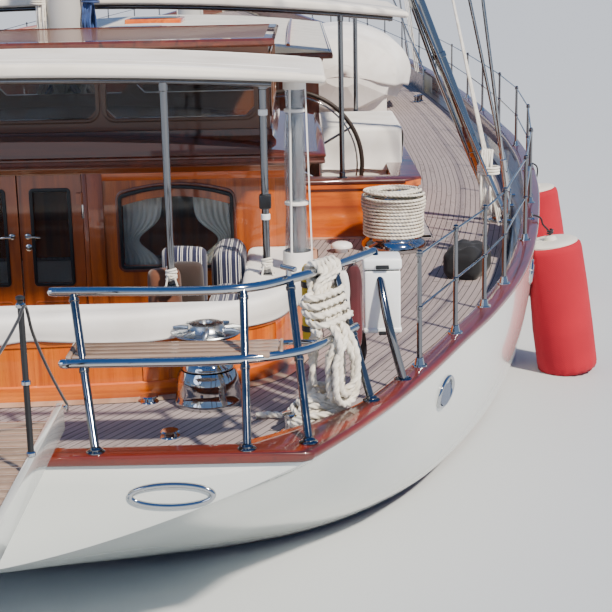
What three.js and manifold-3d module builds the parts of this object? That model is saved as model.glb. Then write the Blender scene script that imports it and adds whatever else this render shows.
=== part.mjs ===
// A two-masted classic sailing yacht (ketch), whole and afloat, as a 1:2 scale model.
// Full-size millimetres are used throughout; the outer group scales them by half.
// X runs forward from the top of the transom, Y to port, Z up from the waterline.
import * as THREE from 'three';
import { mergeVertices } from 'three/addons/utils/BufferGeometryUtils.js';
import Module from 'manifold-3d';

const wasm = await Module();
wasm.setup();

// Driving dimensions, full size.
const modelScale = 1 / 2;
const originX = 22000;           // the waterline origin, forward of the transom
const seat = 0.6;                // gap between pieces that touch
const deckZ = 1200;              // aft deck above the water
const teak = 30;                 // deck planking
const bulwark = 110;             // bulwark thickness
const capThick = 60;
const capOut = 40;
const capIn = 20;                // how far the cap laps inside the bulwark
const sternCap = 110;            // where the cap over the transom ends
const wellX = [1800, 3490];      // aft cockpit
const wellY = 1760;
const benchZ = 900;
const soleZ = 500;
const houseX = [3500, 6000];     // aft house
const houseY = 2200;
const houseTop = 2420;
const wall = 80;
const helmX = [6620, 9690];      // helm cockpit, outside its coaming
const helmY = 3350;
const helmWall = 250;
const helmSoleZ = 800;
const coamingTop = 1700;
const mainX = [9700, 17000];     // main house
const mainY = 2400;
const mainTop = 2750;
const mainWall = 56;
const mizzenX = 6300;
const mastX = 21500;
const rudderX = 5200;
const wheelAt = { x: 7250, y: 2060, z: 1850, radius: 750 };
const boomZ = 4400;

// Hull stations: distance from the transom, half-breadth at the rail, rail height above the
// deck, deck height, underside at the centreline, and the two exponents of the section curve.
const stationColumns = ['x', 'breadth', 'rail', 'deck', 'bottom', 'p', 'q'];
const stationTable = [
  [0, 2200, 100, 1200, 650, 1.0, 1.6],
  [340, 2420, 110, 1200, 500, 1.2, 1.8],
  [790, 2670, 120, 1200, 330, 1.5, 2.2],
  [1350, 2950, 140, 1200, 120, 1.9, 2.9],
  [2040, 3250, 160, 1200, -120, 2.4, 3.8],
  [2740, 3550, 175, 1200, -300, 2.5, 4.2],
  [3730, 3890, 190, 1200, -500, 2.5, 4.4],
  [4650, 4130, 205, 1200, -720, 2.4, 4.6],
  [6350, 4460, 230, 1200, -1080, 2.3, 4.6],
  [8000, 4720, 250, 1200, -1270, 2.2, 4.0],
  [10000, 4930, 275, 1200, -1430, 2.2, 3.5],
  [12000, 5020, 290, 1200, -1540, 2.1, 3.2],
  [16000, 5040, 300, 1200, -1680, 2.0, 3.0],
  [20000, 4900, 305, 1247, -1720, 2.0, 2.8],
  [24000, 4530, 315, 1343, -1680, 1.9, 2.5],
  [28000, 3950, 330, 1473, -1540, 1.8, 2.2],
  [32000, 3120, 345, 1633, -1270, 1.7, 2.0],
  [36000, 2080, 365, 1819, -830, 1.6, 1.8],
  [39000, 1250, 385, 1974, -250, 1.5, 1.7],
  [41200, 640, 400, 2095, 480, 1.5, 1.7],
  [42400, 260, 410, 2165, 1350, 1.4, 1.6],
  [43000, 60, 420, 2200, 2150, 1.4, 1.6],
];
const tableX = stationTable.map((row) => row[0]);

// A smooth curve through one column of the table that never overshoots its rows.
function fair(x, c) {
  const value = stationTable.map((row) => row[c]);
  const n = tableX.length;
  const rise = value.slice(1).map((v, i) => (v - value[i]) / (tableX[i + 1] - tableX[i]));
  const slope = value.map((_, i) => {
    if (i === 0) return rise[0];
    if (i === n - 1) return rise[n - 2];
    return rise[i - 1] * rise[i] <= 0 ? 0 : (2 * rise[i - 1] * rise[i]) / (rise[i - 1] + rise[i]);
  });
  const i = Math.min(Math.max(tableX.findIndex((t) => t > x) - 1, 0), n - 2);
  const span = tableX[i + 1] - tableX[i];
  const t = (x - tableX[i]) / span;
  return value[i] * (1 + 2 * t) * (1 - t) ** 2 + value[i + 1] * t * t * (3 - 2 * t)
    + span * t * (1 - t) * (slope[i] * (1 - t) - slope[i + 1] * t);
}
const stationX = tableX.flatMap((x, i) => (i ? [(x + tableX[i - 1]) / 2, x] : [x]));
const stations = stationX.map((x, i) => {
  const even = i % 2 === 0;
  return Object.fromEntries(stationColumns.map((column, c) => [column, even ? stationTable[i / 2][c] : fair(x, c)]));
});

function at(x, column) {
  const last = stations.length - 1;
  if (x <= stations[0].x) return stations[0][column];
  if (x >= stations[last].x) return stations[last][column];
  const i = stations.findIndex((s) => s.x > x) - 1;
  const t = (x - stations[i].x) / (stations[i + 1].x - stations[i].x);
  return THREE.MathUtils.lerp(stations[i][column], stations[i + 1][column], t);
}
const railZ = (x) => at(x, 'deck') + at(x, 'rail');
const capTop = (x) => railZ(x) + seat + capThick;

// Solids and meshes.
function toSolid(geometry) {
  const bare = geometry.clone();
  for (const name of ['normal', 'uv']) bare.deleteAttribute(name);
  const merged = mergeVertices(bare, 1e-3);
  return new wasm.Manifold(new wasm.Mesh({
    numProp: 3,
    vertProperties: new Float32Array(merged.attributes.position.array),
    triVerts: new Uint32Array(merged.index.array),
  }));
}

function toGeometry(solid) {
  const mesh = solid.getMesh();
  const geometry = new THREE.BufferGeometry();
  geometry.setAttribute('position', new THREE.BufferAttribute(new Float32Array(mesh.vertProperties), 3));
  geometry.setIndex(new THREE.BufferAttribute(new Uint32Array(mesh.triVerts), 1));
  geometry.computeVertexNormals();
  return geometry;
}

const union = (solids) => solids.reduce((sum, next) => sum.add(next));

function box(x0, x1, y0, y1, z0, z1) {
  const geometry = new THREE.BoxGeometry(x1 - x0, Math.abs(y1 - y0), z1 - z0);
  geometry.translate((x0 + x1) / 2, (y0 + y1) / 2, (z0 + z1) / 2);
  return toSolid(geometry);
}

// A straight rod or cone between two points.
function rod(a, b, radius, sides = 6, endRadius = radius) {
  const from = new THREE.Vector3(...a);
  const to = new THREE.Vector3(...b);
  const along = to.clone().sub(from);
  const geometry = new THREE.CylinderGeometry(endRadius, radius, along.length(), sides);
  const turn = new THREE.Quaternion().setFromUnitVectors(new THREE.Vector3(0, 1, 0), along.normalize());
  geometry.applyQuaternion(turn);
  geometry.translate((from.x + to.x) / 2, (from.y + to.y) / 2, (from.z + to.z) / 2);
  return toSolid(geometry);
}

// A round tube along a smooth curve through the points.
function tube(points, radius, steps, sides = 8) {
  const path = new THREE.CatmullRomCurve3(points.map((p) => new THREE.Vector3(...p)), false, 'centripetal');
  const ring = Array.from({ length: sides }, (_, i) => {
    const angle = (2 * Math.PI * i) / sides;
    return new THREE.Vector2(radius * Math.cos(angle), radius * Math.sin(angle));
  });
  return toSolid(new THREE.ExtrudeGeometry(new THREE.Shape(ring), { steps, extrudePath: path, curveSegments: 1 }));
}

// The triangles that fill a flat ring, all turning the way the ring does.
function facets(ring) {
  const normal = new THREE.Vector3();
  ring.forEach((p, i) => {
    const q = ring[(i + 1) % ring.length];
    normal.add(new THREE.Vector3(...p).cross(new THREE.Vector3(...q)));
  });
  const size = normal.toArray().map(Math.abs);
  const drop = size.indexOf(Math.max(...size));
  const flat = ring.map((p) => new THREE.Vector2(p[(drop + 1) % 3], p[(drop + 2) % 3]));
  const turn = (a, b, c) => (b.x - a.x) * (c.y - a.y) - (b.y - a.y) * (c.x - a.x);
  const way = Math.sign(normal.getComponent(drop));
  return THREE.ShapeUtils.triangulateShape(flat, []).map(([a, b, c]) => {
    return Math.sign(turn(flat[a], flat[b], flat[c])) === way ? [a, b, c] : [a, c, b];
  });
}

// A closed body through rings of points, all with the same count, capped at both ends.
function loft(rings) {
  const n = rings[0].length;
  const positions = rings.flat().flatMap((p) => p);
  const index = [];
  for (let i = 0; i + 1 < rings.length; i += 1) {
    for (let j = 0; j < n; j += 1) {
      const k = (j + 1) % n;
      const a = i * n + j;
      const b = i * n + k;
      index.push(a, b, a + n, b, b + n, a + n);
    }
  }
  const end = (rings.length - 1) * n;
  for (const [a, b, c] of facets(rings[0])) index.push(a, c, b);
  for (const [a, b, c] of facets(rings[rings.length - 1])) index.push(end + a, end + b, end + c);
  const geometry = new THREE.BufferGeometry();
  geometry.setAttribute('position', new THREE.Float32BufferAttribute(positions, 3));
  geometry.setIndex(index);
  let volume = 0;
  const [a, b, c] = [new THREE.Vector3(), new THREE.Vector3(), new THREE.Vector3()];
  for (let t = 0; t < index.length; t += 3) {
    a.fromArray(positions, index[t] * 3);
    b.fromArray(positions, index[t + 1] * 3);
    c.fromArray(positions, index[t + 2] * 3);
    volume += a.dot(b.cross(c));
  }
  if (volume < 0) {
    for (let t = 0; t < index.length; t += 3) [index[t], index[t + 1]] = [index[t + 1], index[t]];
    geometry.setIndex(index);
  }
  return toSolid(geometry);
}

// A solid turned about the Z axis from a radius and height profile.
function turned(profile, sides, x, y) {
  const points = profile.map(([r, z]) => new THREE.Vector2(r, z));
  const geometry = new THREE.LatheGeometry(points, sides);
  geometry.rotateX(Math.PI / 2);
  geometry.translate(x, y, 0);
  return toSolid(geometry);
}

// An upright wall or block with a plan outline.
function upright(outline, z0, z1) {
  const shape = new THREE.Shape(outline.map(([x, y]) => new THREE.Vector2(x, y)));
  const geometry = new THREE.ExtrudeGeometry(shape, { depth: z1 - z0, bevelEnabled: false });
  geometry.translate(0, 0, z0);
  return toSolid(geometry);
}

// A slab from x0 to x1 with a flat underside and a top crowned across the boat.
function crowned(x0, x1, halfWidth, under, edge, crown, steps = 8) {
  const section = (x) => {
    const ring = [[x, -halfWidth, under], [x, halfWidth, under]];
    for (let i = 0; i <= steps; i += 1) {
      const y = halfWidth - (2 * halfWidth * i) / steps;
      ring.push([x, y, edge + crown * (1 - (y / halfWidth) ** 2)]);
    }
    return ring;
  };
  return loft([section(x0), section(x1)]);
}

// A window's outline: eased corners, or an arched head that rises from its sides.
function windowRing(low, high, z0, z1, ease, rise = 0) {
  const ring = [[low + ease, z0], [high - ease, z0], [high, z0 + ease]];
  const steps = 8;
  if (rise === 0) ring.push([high, z1 - ease], [high - ease, z1], [low + ease, z1], [low, z1 - ease]);
  for (let i = 0; rise > 0 && i <= steps; i += 1) {
    const share = i / steps;
    ring.push([high + (low - high) * share, z1 - rise * (2 * share - 1) ** 2]);
  }
  return [...ring, [low, z0 + ease]];
}
const ellipseRing = (u, v, across, up, steps = 16) => Array.from({ length: steps }, (_, i) => {
  const angle = (2 * Math.PI * i) / steps;
  return [u + across * Math.cos(angle), v + up * Math.sin(angle)];
});
const throughX = (ring, x0, x1) => loft([x0, x1].map((x) => ring.map(([y, z]) => [x, y, z])));
const throughY = (ring, y0, y1) => loft([y0, y1].map((y) => ring.map(([x, z]) => [x, y, z])));

// A level band over the hull's plan between two heights, with its long edges eased.
function band(xs, halfWidth, low, high, ease = 0) {
  return loft(xs.map((x) => {
    const w = halfWidth(x);
    if (ease === 0) return [[x, -w, low(x)], [x, w, low(x)], [x, w, high(x)], [x, -w, high(x)]];
    return [
      [x, ease - w, low(x)], [x, w - ease, low(x)], [x, w, low(x) + ease], [x, w, high(x) - ease],
      [x, w - ease, high(x)], [x, ease - w, high(x)], [x, -w, high(x) - ease], [x, -w, low(x) + ease],
    ];
  }));
}
const between = (x0, x1) => [x0, ...stations.map((s) => s.x).filter((x) => x > x0 && x < x1), x1];

const group = new THREE.Group();
group.scale.setScalar(modelScale);
group.position.x = -originX * modelScale;
const finishes = {
  paint: { color: 0xe9ece8, roughness: 0.2, metalness: 0 },
  bottomPaint: { color: 0x5a2a26, roughness: 0.6, metalness: 0 },
  teak: { color: 0xa58f78, roughness: 0.8, metalness: 0 },
  varnish: { color: 0xb5571b, roughness: 0.2, metalness: 0 },
  mahogany: { color: 0x6b2c17, roughness: 0.2, metalness: 0 },
  steel: { color: 0xc8ccd0, roughness: 0.15, metalness: 1 },
  spar: { color: 0xd8d8d4, roughness: 0.4, metalness: 0.2 },
  canvas: { color: 0xeee8da, roughness: 0.9, metalness: 0 },
  stripe: { color: 0x3a3f5c, roughness: 0.9, metalness: 0 },
  burgundy: { color: 0x5e1620, roughness: 0.9, metalness: 0 },
  glass: { color: 0x29323a, roughness: 0.05, metalness: 0 },
  red: { color: 0xd61f35, roughness: 0.8, metalness: 0 },
  rope: { color: 0xe6e0d2, roughness: 0.9, metalness: 0 },
  bronze: { color: 0xa87a3c, roughness: 0.35, metalness: 1 },
};

function add(name, finish, solid) {
  const mesh = new THREE.Mesh(toGeometry(solid), new THREE.MeshStandardMaterial(finishes[finish]));
  mesh.name = name;
  group.add(mesh);
}
const sides = [['port', 1], ['starboard', -1]];

// Hull: one lofted body with the bulwark standing around the recessed deck.
const sectionPoints = 9;
function hullRing(s) {
  const top = s.deck + s.rail;
  const half = [];
  for (let i = 0; i <= sectionPoints; i += 1) {
    const angle = (Math.PI / 2) * (i / sectionPoints);
    const y = i === sectionPoints ? 0 : s.breadth * Math.cos(angle) ** (2 / s.q);
    half.push([s.x, y, top - (top - s.bottom) * Math.sin(angle) ** (2 / s.p)]);
  }
  const mirrored = half.slice(0, -1).reverse().map(([x, y, z]) => [x, -y, z]);
  return [...half, ...mirrored];
}
const bowDeck = 42200;
const deckStart = sternCap + 20;
// The bulwark thickens towards the narrow stern, where the topsides slope in under it.
const thicker = (x) => 350 * Math.max(0, 1 - (x - deckStart) / 800) ** 2;
const inside = (x) => at(x, 'breadth') - bulwark - thicker(x);
const deckStations = between(deckStart, bowDeck);
const recess = band(deckStations, inside, (x) => at(x, 'deck') - teak, (x) => railZ(x) + 200);
const cockpitCuts = union([
  box(wellX[0], wellX[1] + 1, -wellY, wellY, benchZ, 3000),
  box(wellX[0] + 550, wellX[1] + 1, -1150, 1150, soleZ, 3000),
  box(wellX[1], houseX[1] - 100, -2000, 2000, soleZ, 3000),
  box(helmX[0] + helmWall, helmX[1], helmWall - helmY, helmY - helmWall, helmSoleZ, 3000),
  box(mainX[0] + wall, mainX[1] - wall, -mainY + 100, mainY - 100, 600, 3000),
]);
const skeg = loft([-160, 160].map((y) => [
  [7100, y, -900], [7100, y, -2130], [7700, y, -2180], [13200, y, -1600], [13200, y, -900],
]));
const rudderHead = -1040;
const bearing = rod([rudderX, 0, rudderHead], [rudderX, 0, -500], 220, 16);
const bareHull = loft(stations.map(hullRing));

// Hawse pockets: their place on the stern or the side, half-length, half-height and depth.
const sternHawse = { y: 1450, z: 1120, across: 215, up: 50, depth: 60 };
const sideHawses = [
  { x: 1750, below: 240, across: 112, up: 86, depth: 70 },
  { x: 5100, below: 260, across: 130, up: 86, depth: 60 },
];
const hawses = sides.flatMap(([, side]) => [
  throughX(ellipseRing(side * sternHawse.y, sternHawse.z, sternHawse.across, sternHawse.up), -100, sternHawse.depth),
  ...sideHawses.map((h) => throughY(ellipseRing(h.x, railZ(h.x) - h.below, h.across, h.up),
    side * (at(h.x, 'breadth') - h.depth), side * 6000)),
]);
const hull = bareHull.subtract(recess).subtract(cockpitCuts).add(skeg).add(bearing).subtract(union(hawses));

// The hull is built in three sections that meet at the cockpit and main house bulkheads.
const bulkheads = [-100, 9735, 17200, 43100];
['aft', 'middle', 'forward'].forEach((name, i) => {
  const bay = box(bulkheads[i] + (i ? seat : 0), bulkheads[i + 1], -6000, 6000, -3000, 5000);
  add(`hull_${name}`, 'paint', hull.intersect(bay));
});

// Planked deck in the recess, cut around the cockpits and the house interiors.
const slab = band(
  between(deckStart + seat, bowDeck - seat),
  (x) => inside(x) - seat,
  (x) => at(x, 'deck') - teak + seat,
  (x) => at(x, 'deck'),
);
add('teak_deck', 'teak', slab.subtract(cockpitCuts));
const underDeck = band(deckStations, inside, () => -100, (x) => at(x, 'deck') + seat);

// Varnished cap all round the rail, wide over the transom.
const capStations = [-capOut, ...between(0, 43000 + capOut)];
const capOuter = band(capStations, (x) => at(x, 'breadth') + capOut, (x) => railZ(x) + seat, capTop, 18);
const capHole = band(between(sternCap, 42000), (x) => inside(x) - capIn,
  (x) => railZ(x) - 100, (x) => capTop(x) + 100);
const cap = capOuter.subtract(capHole);
add('cap_rail', 'varnish', cap);

// Fin keel with its ballast, seated under the hull.
const keelColumns = ['z', 'aft', 'forward', 'half'];
const keelTable = [
  [-1300, 13600, 24600, 330],
  [-3300, 14800, 23600, 300],
  [-3900, 14900, 23800, 620],
  [-4400, 15300, 23300, 560],
  [-4600, 16000, 22600, 300],
];
const fullness = [0, 0.45, 0.85, 1, 0.9, 0.55, 0];
function foilRing(aft, forward, half, z) {
  const side = fullness.map((f, i) => [aft + ((forward - aft) * i) / (fullness.length - 1), f * half, z]);
  return [...side, ...side.slice(1, -1).reverse().map(([x, y, zz]) => [x, -y, zz])];
}
const keel = loft(keelTable.map((row) => {
  const k = Object.fromEntries(row.map((v, i) => [keelColumns[i], v]));
  return foilRing(k.aft, k.forward, k.half, k.z);
}));
add('ballast_keel', 'bottomPaint', keel.subtract(bareHull.translate([0, 0, -seat])));

// Rudder under its bearing, and the propeller behind the skeg.
const rudderTop = -1065;
const rudderRings = [rudderTop, -3600].map((z, i) => foilRing(3300 + 250 * i, 5750 - 150 * i, 150 - 50 * i, z));
const stock = rod([rudderX, 0, rudderTop - 200], [rudderX, 0, rudderHead - seat], 130, 16);
add('rudder', 'bottomPaint', loft(rudderRings).add(stock));

const propellerAt = { x: 6950, z: -1960 };
const pitch = THREE.MathUtils.degToRad(28);
const bladeThick = 15;
function propeller() {
  const hub = rod([propellerAt.x - 190, 0, propellerAt.z], [7100 - seat, 0, propellerAt.z], 90, 12, 120);
  const blades = [0, 1, 2, 3].map((i) => {
    const rings = [[60, 110], [300, 200], [540, 200], [720, 90]].map(([r, width]) => {
      return [[-1, -1], [1, -1], [1, 1], [-1, 1]].map(([a, b]) => {
        const along = a * width * Math.cos(pitch) - b * bladeThick * Math.sin(pitch);
        const across = a * width * Math.sin(pitch) + b * bladeThick * Math.cos(pitch);
        const turn = (Math.PI / 2) * i;
        const y = along * Math.cos(turn) - r * Math.sin(turn);
        const z = along * Math.sin(turn) + r * Math.cos(turn);
        return [propellerAt.x + across, y, propellerAt.z + z];
      });
    });
    return loft(rings);
  });
  return union([hub, ...blades]);
}
add('propeller', 'bronze', propeller());

// Aft cockpit: coaming, canvas over its top, seat cushion and striped back cushion.
const coamingHalf = [
  [1430, 0], [1470, 750], [1540, 1280], [1770, 1790], [1940, 1970], [2320, 2100], [2620, 2190], [3490, 2200],
];
const mirror = (half) => half.slice().reverse().filter(([, y]) => y !== 0).map(([x, y]) => [x, -y]);
const coamingCurve = new THREE.SplineCurve([...mirror(coamingHalf), ...coamingHalf]
  .map(([x, y]) => new THREE.Vector2(x, y)));
const coamingOutline = coamingCurve.getPoints(40).map((p) => [p.x, p.y]);
// Height and outset of the coaming, drawn in at the foot of its canvas cover's edge.
const coamingRings = [
  [deckZ + seat, 1], [coamingTop - 130, 1], [coamingTop - 120, 1.012], [coamingTop + 35, 1.012], [coamingTop + 60, 0.995],
].map(([z, grow]) => coamingOutline.map(([x, y]) => [wellX[1] + (x - wellX[1]) * grow, y * grow, z]));
const cockpitHole = box(wellX[0], 4000, -wellY, wellY, 0, 4000);
add('aft_coaming', 'varnish', loft(coamingRings).subtract(cockpitHole));
const cushionHole = box(2320, 4000, -1120, 1120, 0, 4000);
add('bench_cushion', 'burgundy', box(1810, 3480, -1750, 1750, benchZ + seat, benchZ + 130).subtract(cushionHole));
const backHole = box(2020, 4000, -1530, 1530, 0, 4000);
const backTop = coamingTop + 260;
add('back_cushion', 'stripe',
  box(1812, 3300, -1748, 1748, benchZ + 131, backTop).subtract(backHole)
    .subtract(box(1750, 3350, -1330, 1330, coamingTop - 20, 3000)));

// Aft house: walls down to the sole at the doors, glazing band inside, crowned roof and two doors.
const doorHalf = 500;
const doorZ = [560, 2380];
const windowZ = [1620, 2170];
function houseWalls() {
  const outer = box(houseX[0], houseX[1], -houseY, houseY, deckZ + seat, houseTop);
  const inner = box(houseX[0] + wall, houseX[1] - wall, wall - houseY, houseY - wall, 0, 4000);
  const bulkhead = box(houseX[0], houseX[0] + wall, -1999, 1999, soleZ + seat, deckZ + 50);
  const openings = [box(3000, 3700, -doorHalf, doorHalf, doorZ[0], doorZ[1])];
  for (const [, side] of sides) {
    const low = side > 0 ? 790 : -1640;
    openings.push(throughX(windowRing(low, low + 850, windowZ[0], windowZ[1], 20, 70), 3000, 3700));
    for (const x of [3850, 4950]) {
      openings.push(throughY(windowRing(x, x + 850, windowZ[0], windowZ[1], 90), side * 2000, side * 2500));
    }
  }
  return outer.subtract(inner).add(bulkhead).subtract(union(openings));
}
add('aft_house_walls', 'varnish', houseWalls());
function glazing(x0, x1, y, z0, z1, gap, behind) {
  const paneIn = behind + seat;
  const outer = box(x0 + paneIn, x1 - paneIn, paneIn - y, y - paneIn, z0, z1);
  const inner = box(x0 + paneIn + 12, x1 - paneIn - 12, paneIn + 12 - y, y - paneIn - 12, 0, 4000);
  return outer.subtract(inner).subtract(gap);
}
add('aft_house_glass', 'glass',
  glazing(houseX[0], houseX[1], houseY, windowZ[0] - 60, windowZ[1] + 60, box(3000, 3700, -620, 620, 0, 4000), wall));
const roofEdge = houseTop + 80;
const aftRoof = crowned(3340, houseX[1] + 40, 2350, houseTop + seat, roofEdge, 130);
add('aft_house_roof', 'mahogany', aftRoof);
// A door leaf set in its opening, with three hinge barrels standing just off the wall's face.
const hingeOut = 12;
function door(wallX, hingeY, freeY, z0, z1, light) {
  const inward = Math.sign(freeY - hingeY);
  const face = wallX + 12;
  const leaf = box(face, face + 45, ...[hingeY + inward * 6, freeY].sort((a, b) => a - b), z0, z1);
  const barrels = [z0 + 150, z1 - 250].flatMap((z) => [
    rod([wallX - hingeOut, hingeY, z], [wallX - hingeOut, hingeY, z + 100], hingeOut - seat, 8),
    box(wallX - hingeOut, face + 5, ...[hingeY + inward * 6, hingeY + inward * 46].sort((a, b) => a - b), z + 8, z + 92),
    box(wallX - hingeOut - 6, wallX - hingeOut + 6,
      ...[hingeY, hingeY + inward * 20].sort((a, b) => a - b), z + 8, z + 92),
  ]);
  return union([leaf, ...barrels]).subtract(light);
}
for (const [name, side] of sides) {
  const light = box(3400, 3700, side * 110, side * 390, 1500, 2230);
  add(`aft_door_${name}`, 'varnish', door(houseX[0], side * doorHalf, side * 6, doorZ[0] + 12, doorZ[1] - 12, light));
}

// Glazed deckhouse on the aft house: posts and rails round large windows, under a flat top.
const screenX = [3800, 5980];
const screenY = 1950;
const screenTop = 3330;
function screen() {
  const outer = box(screenX[0], screenX[1], -screenY, screenY, roofEdge, screenTop);
  const inner = box(screenX[0] + 70, screenX[1] - 70, 70 - screenY, screenY - 70, 0, screenTop - 70);
  const lights = [];
  for (const [y0, y1] of [[-1830, -680], [-600, 600], [680, 1830]]) {
    lights.push(throughX(windowRing(y0, y1, 2740, 3200, 70), 3000, 7000));
  }
  for (const [x0, x1] of [[3930, 4850], [4930, 5850]]) {
    lights.push(throughY(windowRing(x0, x1, 2740, 3200, 70), -3000, 3000));
  }
  return outer.subtract(inner).subtract(union(lights)).subtract(aftRoof.translate([0, 0, seat]));
}
add('deckhouse_screen', 'mahogany', screen());

// Canopies with rolled edges, and the hoops, runners and posts that carry them.
const helmTop = 1750;
const canopies = [
  { name: 'aft', x: [2150, 3780], half: 2360, z: 3120, crown: 80, deep: 46, edge: 28, hoops: [2250, 2550, 3700],
    reach: 2000, posts: [[2250, 1280, coamingTop + 60 + seat], [2550, 1930, coamingTop + 60 + seat]] },
  { name: 'helm', x: [6650, 9700], half: 3250, z: 3330, crown: 190, deep: 55, edge: 30, hoops: [6745, 9500],
    reach: 3100, posts: [[6745, 2590, helmTop + seat], [9500, 2840, helmSoleZ + seat]] },
];
const canopySteps = 8;
const edgeAngles = [20, 50, 90].map((a) => THREE.MathUtils.degToRad(a));
const arcAngles = [-90, -45, 0, 45, 90].map((a) => THREE.MathUtils.degToRad(a));
const canopyYs = (c) => {
  const reach = c.half - c.edge;
  return Array.from({ length: canopySteps + 1 }, (_, i) => -reach + (2 * reach * i) / canopySteps);
};
const crownAt = (c, y) => c.z + c.crown * (1 - (y / c.half) ** 2);
function underAt(c, y) {
  const ys = canopyYs(c);
  const i = Math.min(ys.filter((edge) => edge <= y).length, canopySteps) - 1;
  const t = (y - ys[i]) / (ys[i + 1] - ys[i]);
  return THREE.MathUtils.lerp(crownAt(c, ys[i]), crownAt(c, ys[i + 1]), t);
}
function canopy(c) {
  const ys = canopyYs(c);
  const end = ys[canopySteps];
  const topAt = (y) => crownAt(c, y) + 2 * THREE.MathUtils.lerp(c.deep, c.edge, (y / end) ** 2);
  const section = (x, drawnIn) => {
    const r = c.edge - drawnIn;
    const middle = crownAt(c, end) + c.edge;
    const arc = (side) => arcAngles.map((a) => [x, side * (end + r * Math.cos(a)), middle + side * r * Math.sin(a)]);
    return [...ys.slice(1, -1).map((y) => [x, y, crownAt(c, y) + drawnIn]), ...arc(1),
      ...ys.slice(1, -1).reverse().map((y) => [x, y, topAt(y) - drawnIn]), ...arc(-1)];
  };
  const start = edgeAngles.map((a) => [c.x[0] + c.edge * (1 - Math.cos(a)), c.edge * (1 - Math.sin(a))]);
  const finish = start.map(([x, r]) => [c.x[1] - (x - c.x[0]), r]).reverse();
  return loft([...start, ...finish].map(([x, r]) => section(x, r)));
}
function canopyFrame(c) {
  const across = [-c.reach, ...canopyYs(c).filter((y) => Math.abs(y) < c.reach), c.reach];
  const hoops = c.hoops.map((x) => loft(across.map((y) => [
    [x - 22, y, underAt(c, y) - 60], [x + 22, y, underAt(c, y) - 60],
    [x + 22, y, underAt(c, y) - seat], [x - 22, y, underAt(c, y) - seat],
  ])));
  const runnerY = c.reach - 30;
  const top = underAt(c, runnerY);
  const runners = sides.map(([, side]) => box(c.hoops[0], c.hoops[c.hoops.length - 1],
    side * (runnerY - 18), side * (runnerY + 18), top - 50, top - 12));
  const posts = c.posts.flatMap(([x, y, footZ]) => sides.map(([, side]) => rod([x, side * y, footZ],
    [x, side * y, underAt(c, side * y) - 30], 26, 8)));
  return union([...hoops, ...runners, ...posts]);
}
for (const c of canopies) {
  add(`${c.name}_canopy`, 'canvas', canopy(c));
  add(`${c.name}_canopy_frame`, 'steel', canopyFrame(c));
}
const aftCanopyZ = canopies[0].z;
add('side_curtain', 'glass', rod([2720, -2150, 1760 + seat], [2720, -2150, aftCanopyZ - 4], 110, 10, 70));

// Helm cockpit: coaming, covered seats, settee, two pedestals with steering wheels.
const helmCap = { out: 25, deep: 60 };
function helmCoaming() {
  const corner = 160;
  const [x0, x1] = helmX;
  const plan = (out) => [[x0 - out + corner, -helmY - out], [x1, -helmY - out], [x1, helmY + out],
    [x0 - out + corner, helmY + out], [x0 - out, helmY + out - corner], [x0 - out, corner - out - helmY]];
  const outer = upright(plan(0), deckZ + seat, helmTop).add(upright(plan(helmCap.out), helmTop - helmCap.deep, helmTop));
  return outer.subtract(box(helmX[0] + helmWall, 12000, helmWall - helmY, helmY - helmWall, 0, 4000));
}
add('helm_coaming', 'varnish', helmCoaming());
add('helm_settee', 'burgundy', union([
  box(8600, 9660, -1900, -60, helmSoleZ + seat, 1300), box(9450, 9660, -1900, -60, 1200, 1900),
]));
for (const [name, side] of sides) {
  const cover = box(7750, 9350, side * 2400, side * 3090, helmSoleZ + seat, 1800)
    .add(box(7750, 9350, side * 2400, side * 3250, helmTop + seat, 2130));
  add(`seat_cover_${name}`, 'canvas', cover);
  const post = union([
    box(7310, 7560, side * 1930, side * 2190, helmSoleZ + seat, 1960),
    rod([7260 + 30, side * wheelAt.y, wheelAt.z], [7400, side * wheelAt.y, wheelAt.z], 45, 10),
  ]);
  add(`pedestal_${name}`, 'paint', post);
  const rim = new THREE.TorusGeometry(wheelAt.radius, 22, 5, 24);
  rim.rotateY(Math.PI / 2);
  rim.translate(wheelAt.x, side * wheelAt.y, wheelAt.z);
  const spokes = Array.from({ length: 6 }, (_, i) => {
    const angle = (Math.PI * (i + 0.5)) / 3;
    const reach = wheelAt.radius - 5;
    return rod([wheelAt.x, side * wheelAt.y, wheelAt.z],
      [wheelAt.x, side * wheelAt.y + reach * Math.cos(angle), wheelAt.z + reach * Math.sin(angle)], 14, 5);
  });
  const hub = rod([wheelAt.x - 45, side * wheelAt.y, wheelAt.z],
    [wheelAt.x + 40 - seat, side * wheelAt.y, wheelAt.z], 70, 12);
  add(`wheel_${name}`, 'steel', union([toSolid(rim), hub, ...spokes]));
}

// Main house with its companion door, glazing band and roof.
const mainWindowZ = [1880, 2500];
function mainWalls() {
  const outer = box(mainX[0], mainX[1], -mainY, mainY, deckZ + seat, mainTop);
  const inner = box(mainX[0] + mainWall, mainX[1] - mainWall, mainWall - mainY, mainY - mainWall, 0, 4000);
  const openings = [
    box(9000, 9900, 300, 1100, 1230, 2620),
    box(9000, 9900, -1900, -300, mainWindowZ[0], mainWindowZ[1]),
  ];
  for (const y of [-1900, -600, 700]) openings.push(box(16500, 17500, y, y + 1200, mainWindowZ[0], mainWindowZ[1]));
  for (const [, side] of sides) {
    for (let x = 10150; x < 16500; x += 1300) {
      openings.push(box(x, x + 1000, side * 2200, side * 2700, mainWindowZ[0], mainWindowZ[1]));
    }
  }
  return outer.subtract(inner).subtract(union(openings)).subtract(underDeck);
}
add('main_house_walls', 'mahogany', mainWalls());
add('main_house_glass', 'glass', glazing(mainX[0], mainX[1], mainY, mainWindowZ[0] - 60, mainWindowZ[1] + 60,
  box(9000, 9900, 200, 1200, 0, 4000), mainWall));
add('main_house_roof', 'canvas', crowned(9560, 17160, 2560, mainTop + seat, mainTop + 80, 170));
add('main_house_door', 'mahogany', door(mainX[0], 1100, 312, 1242, 2608, box(9600, 9900, 430, 970, 1850, 2480)));

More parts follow.
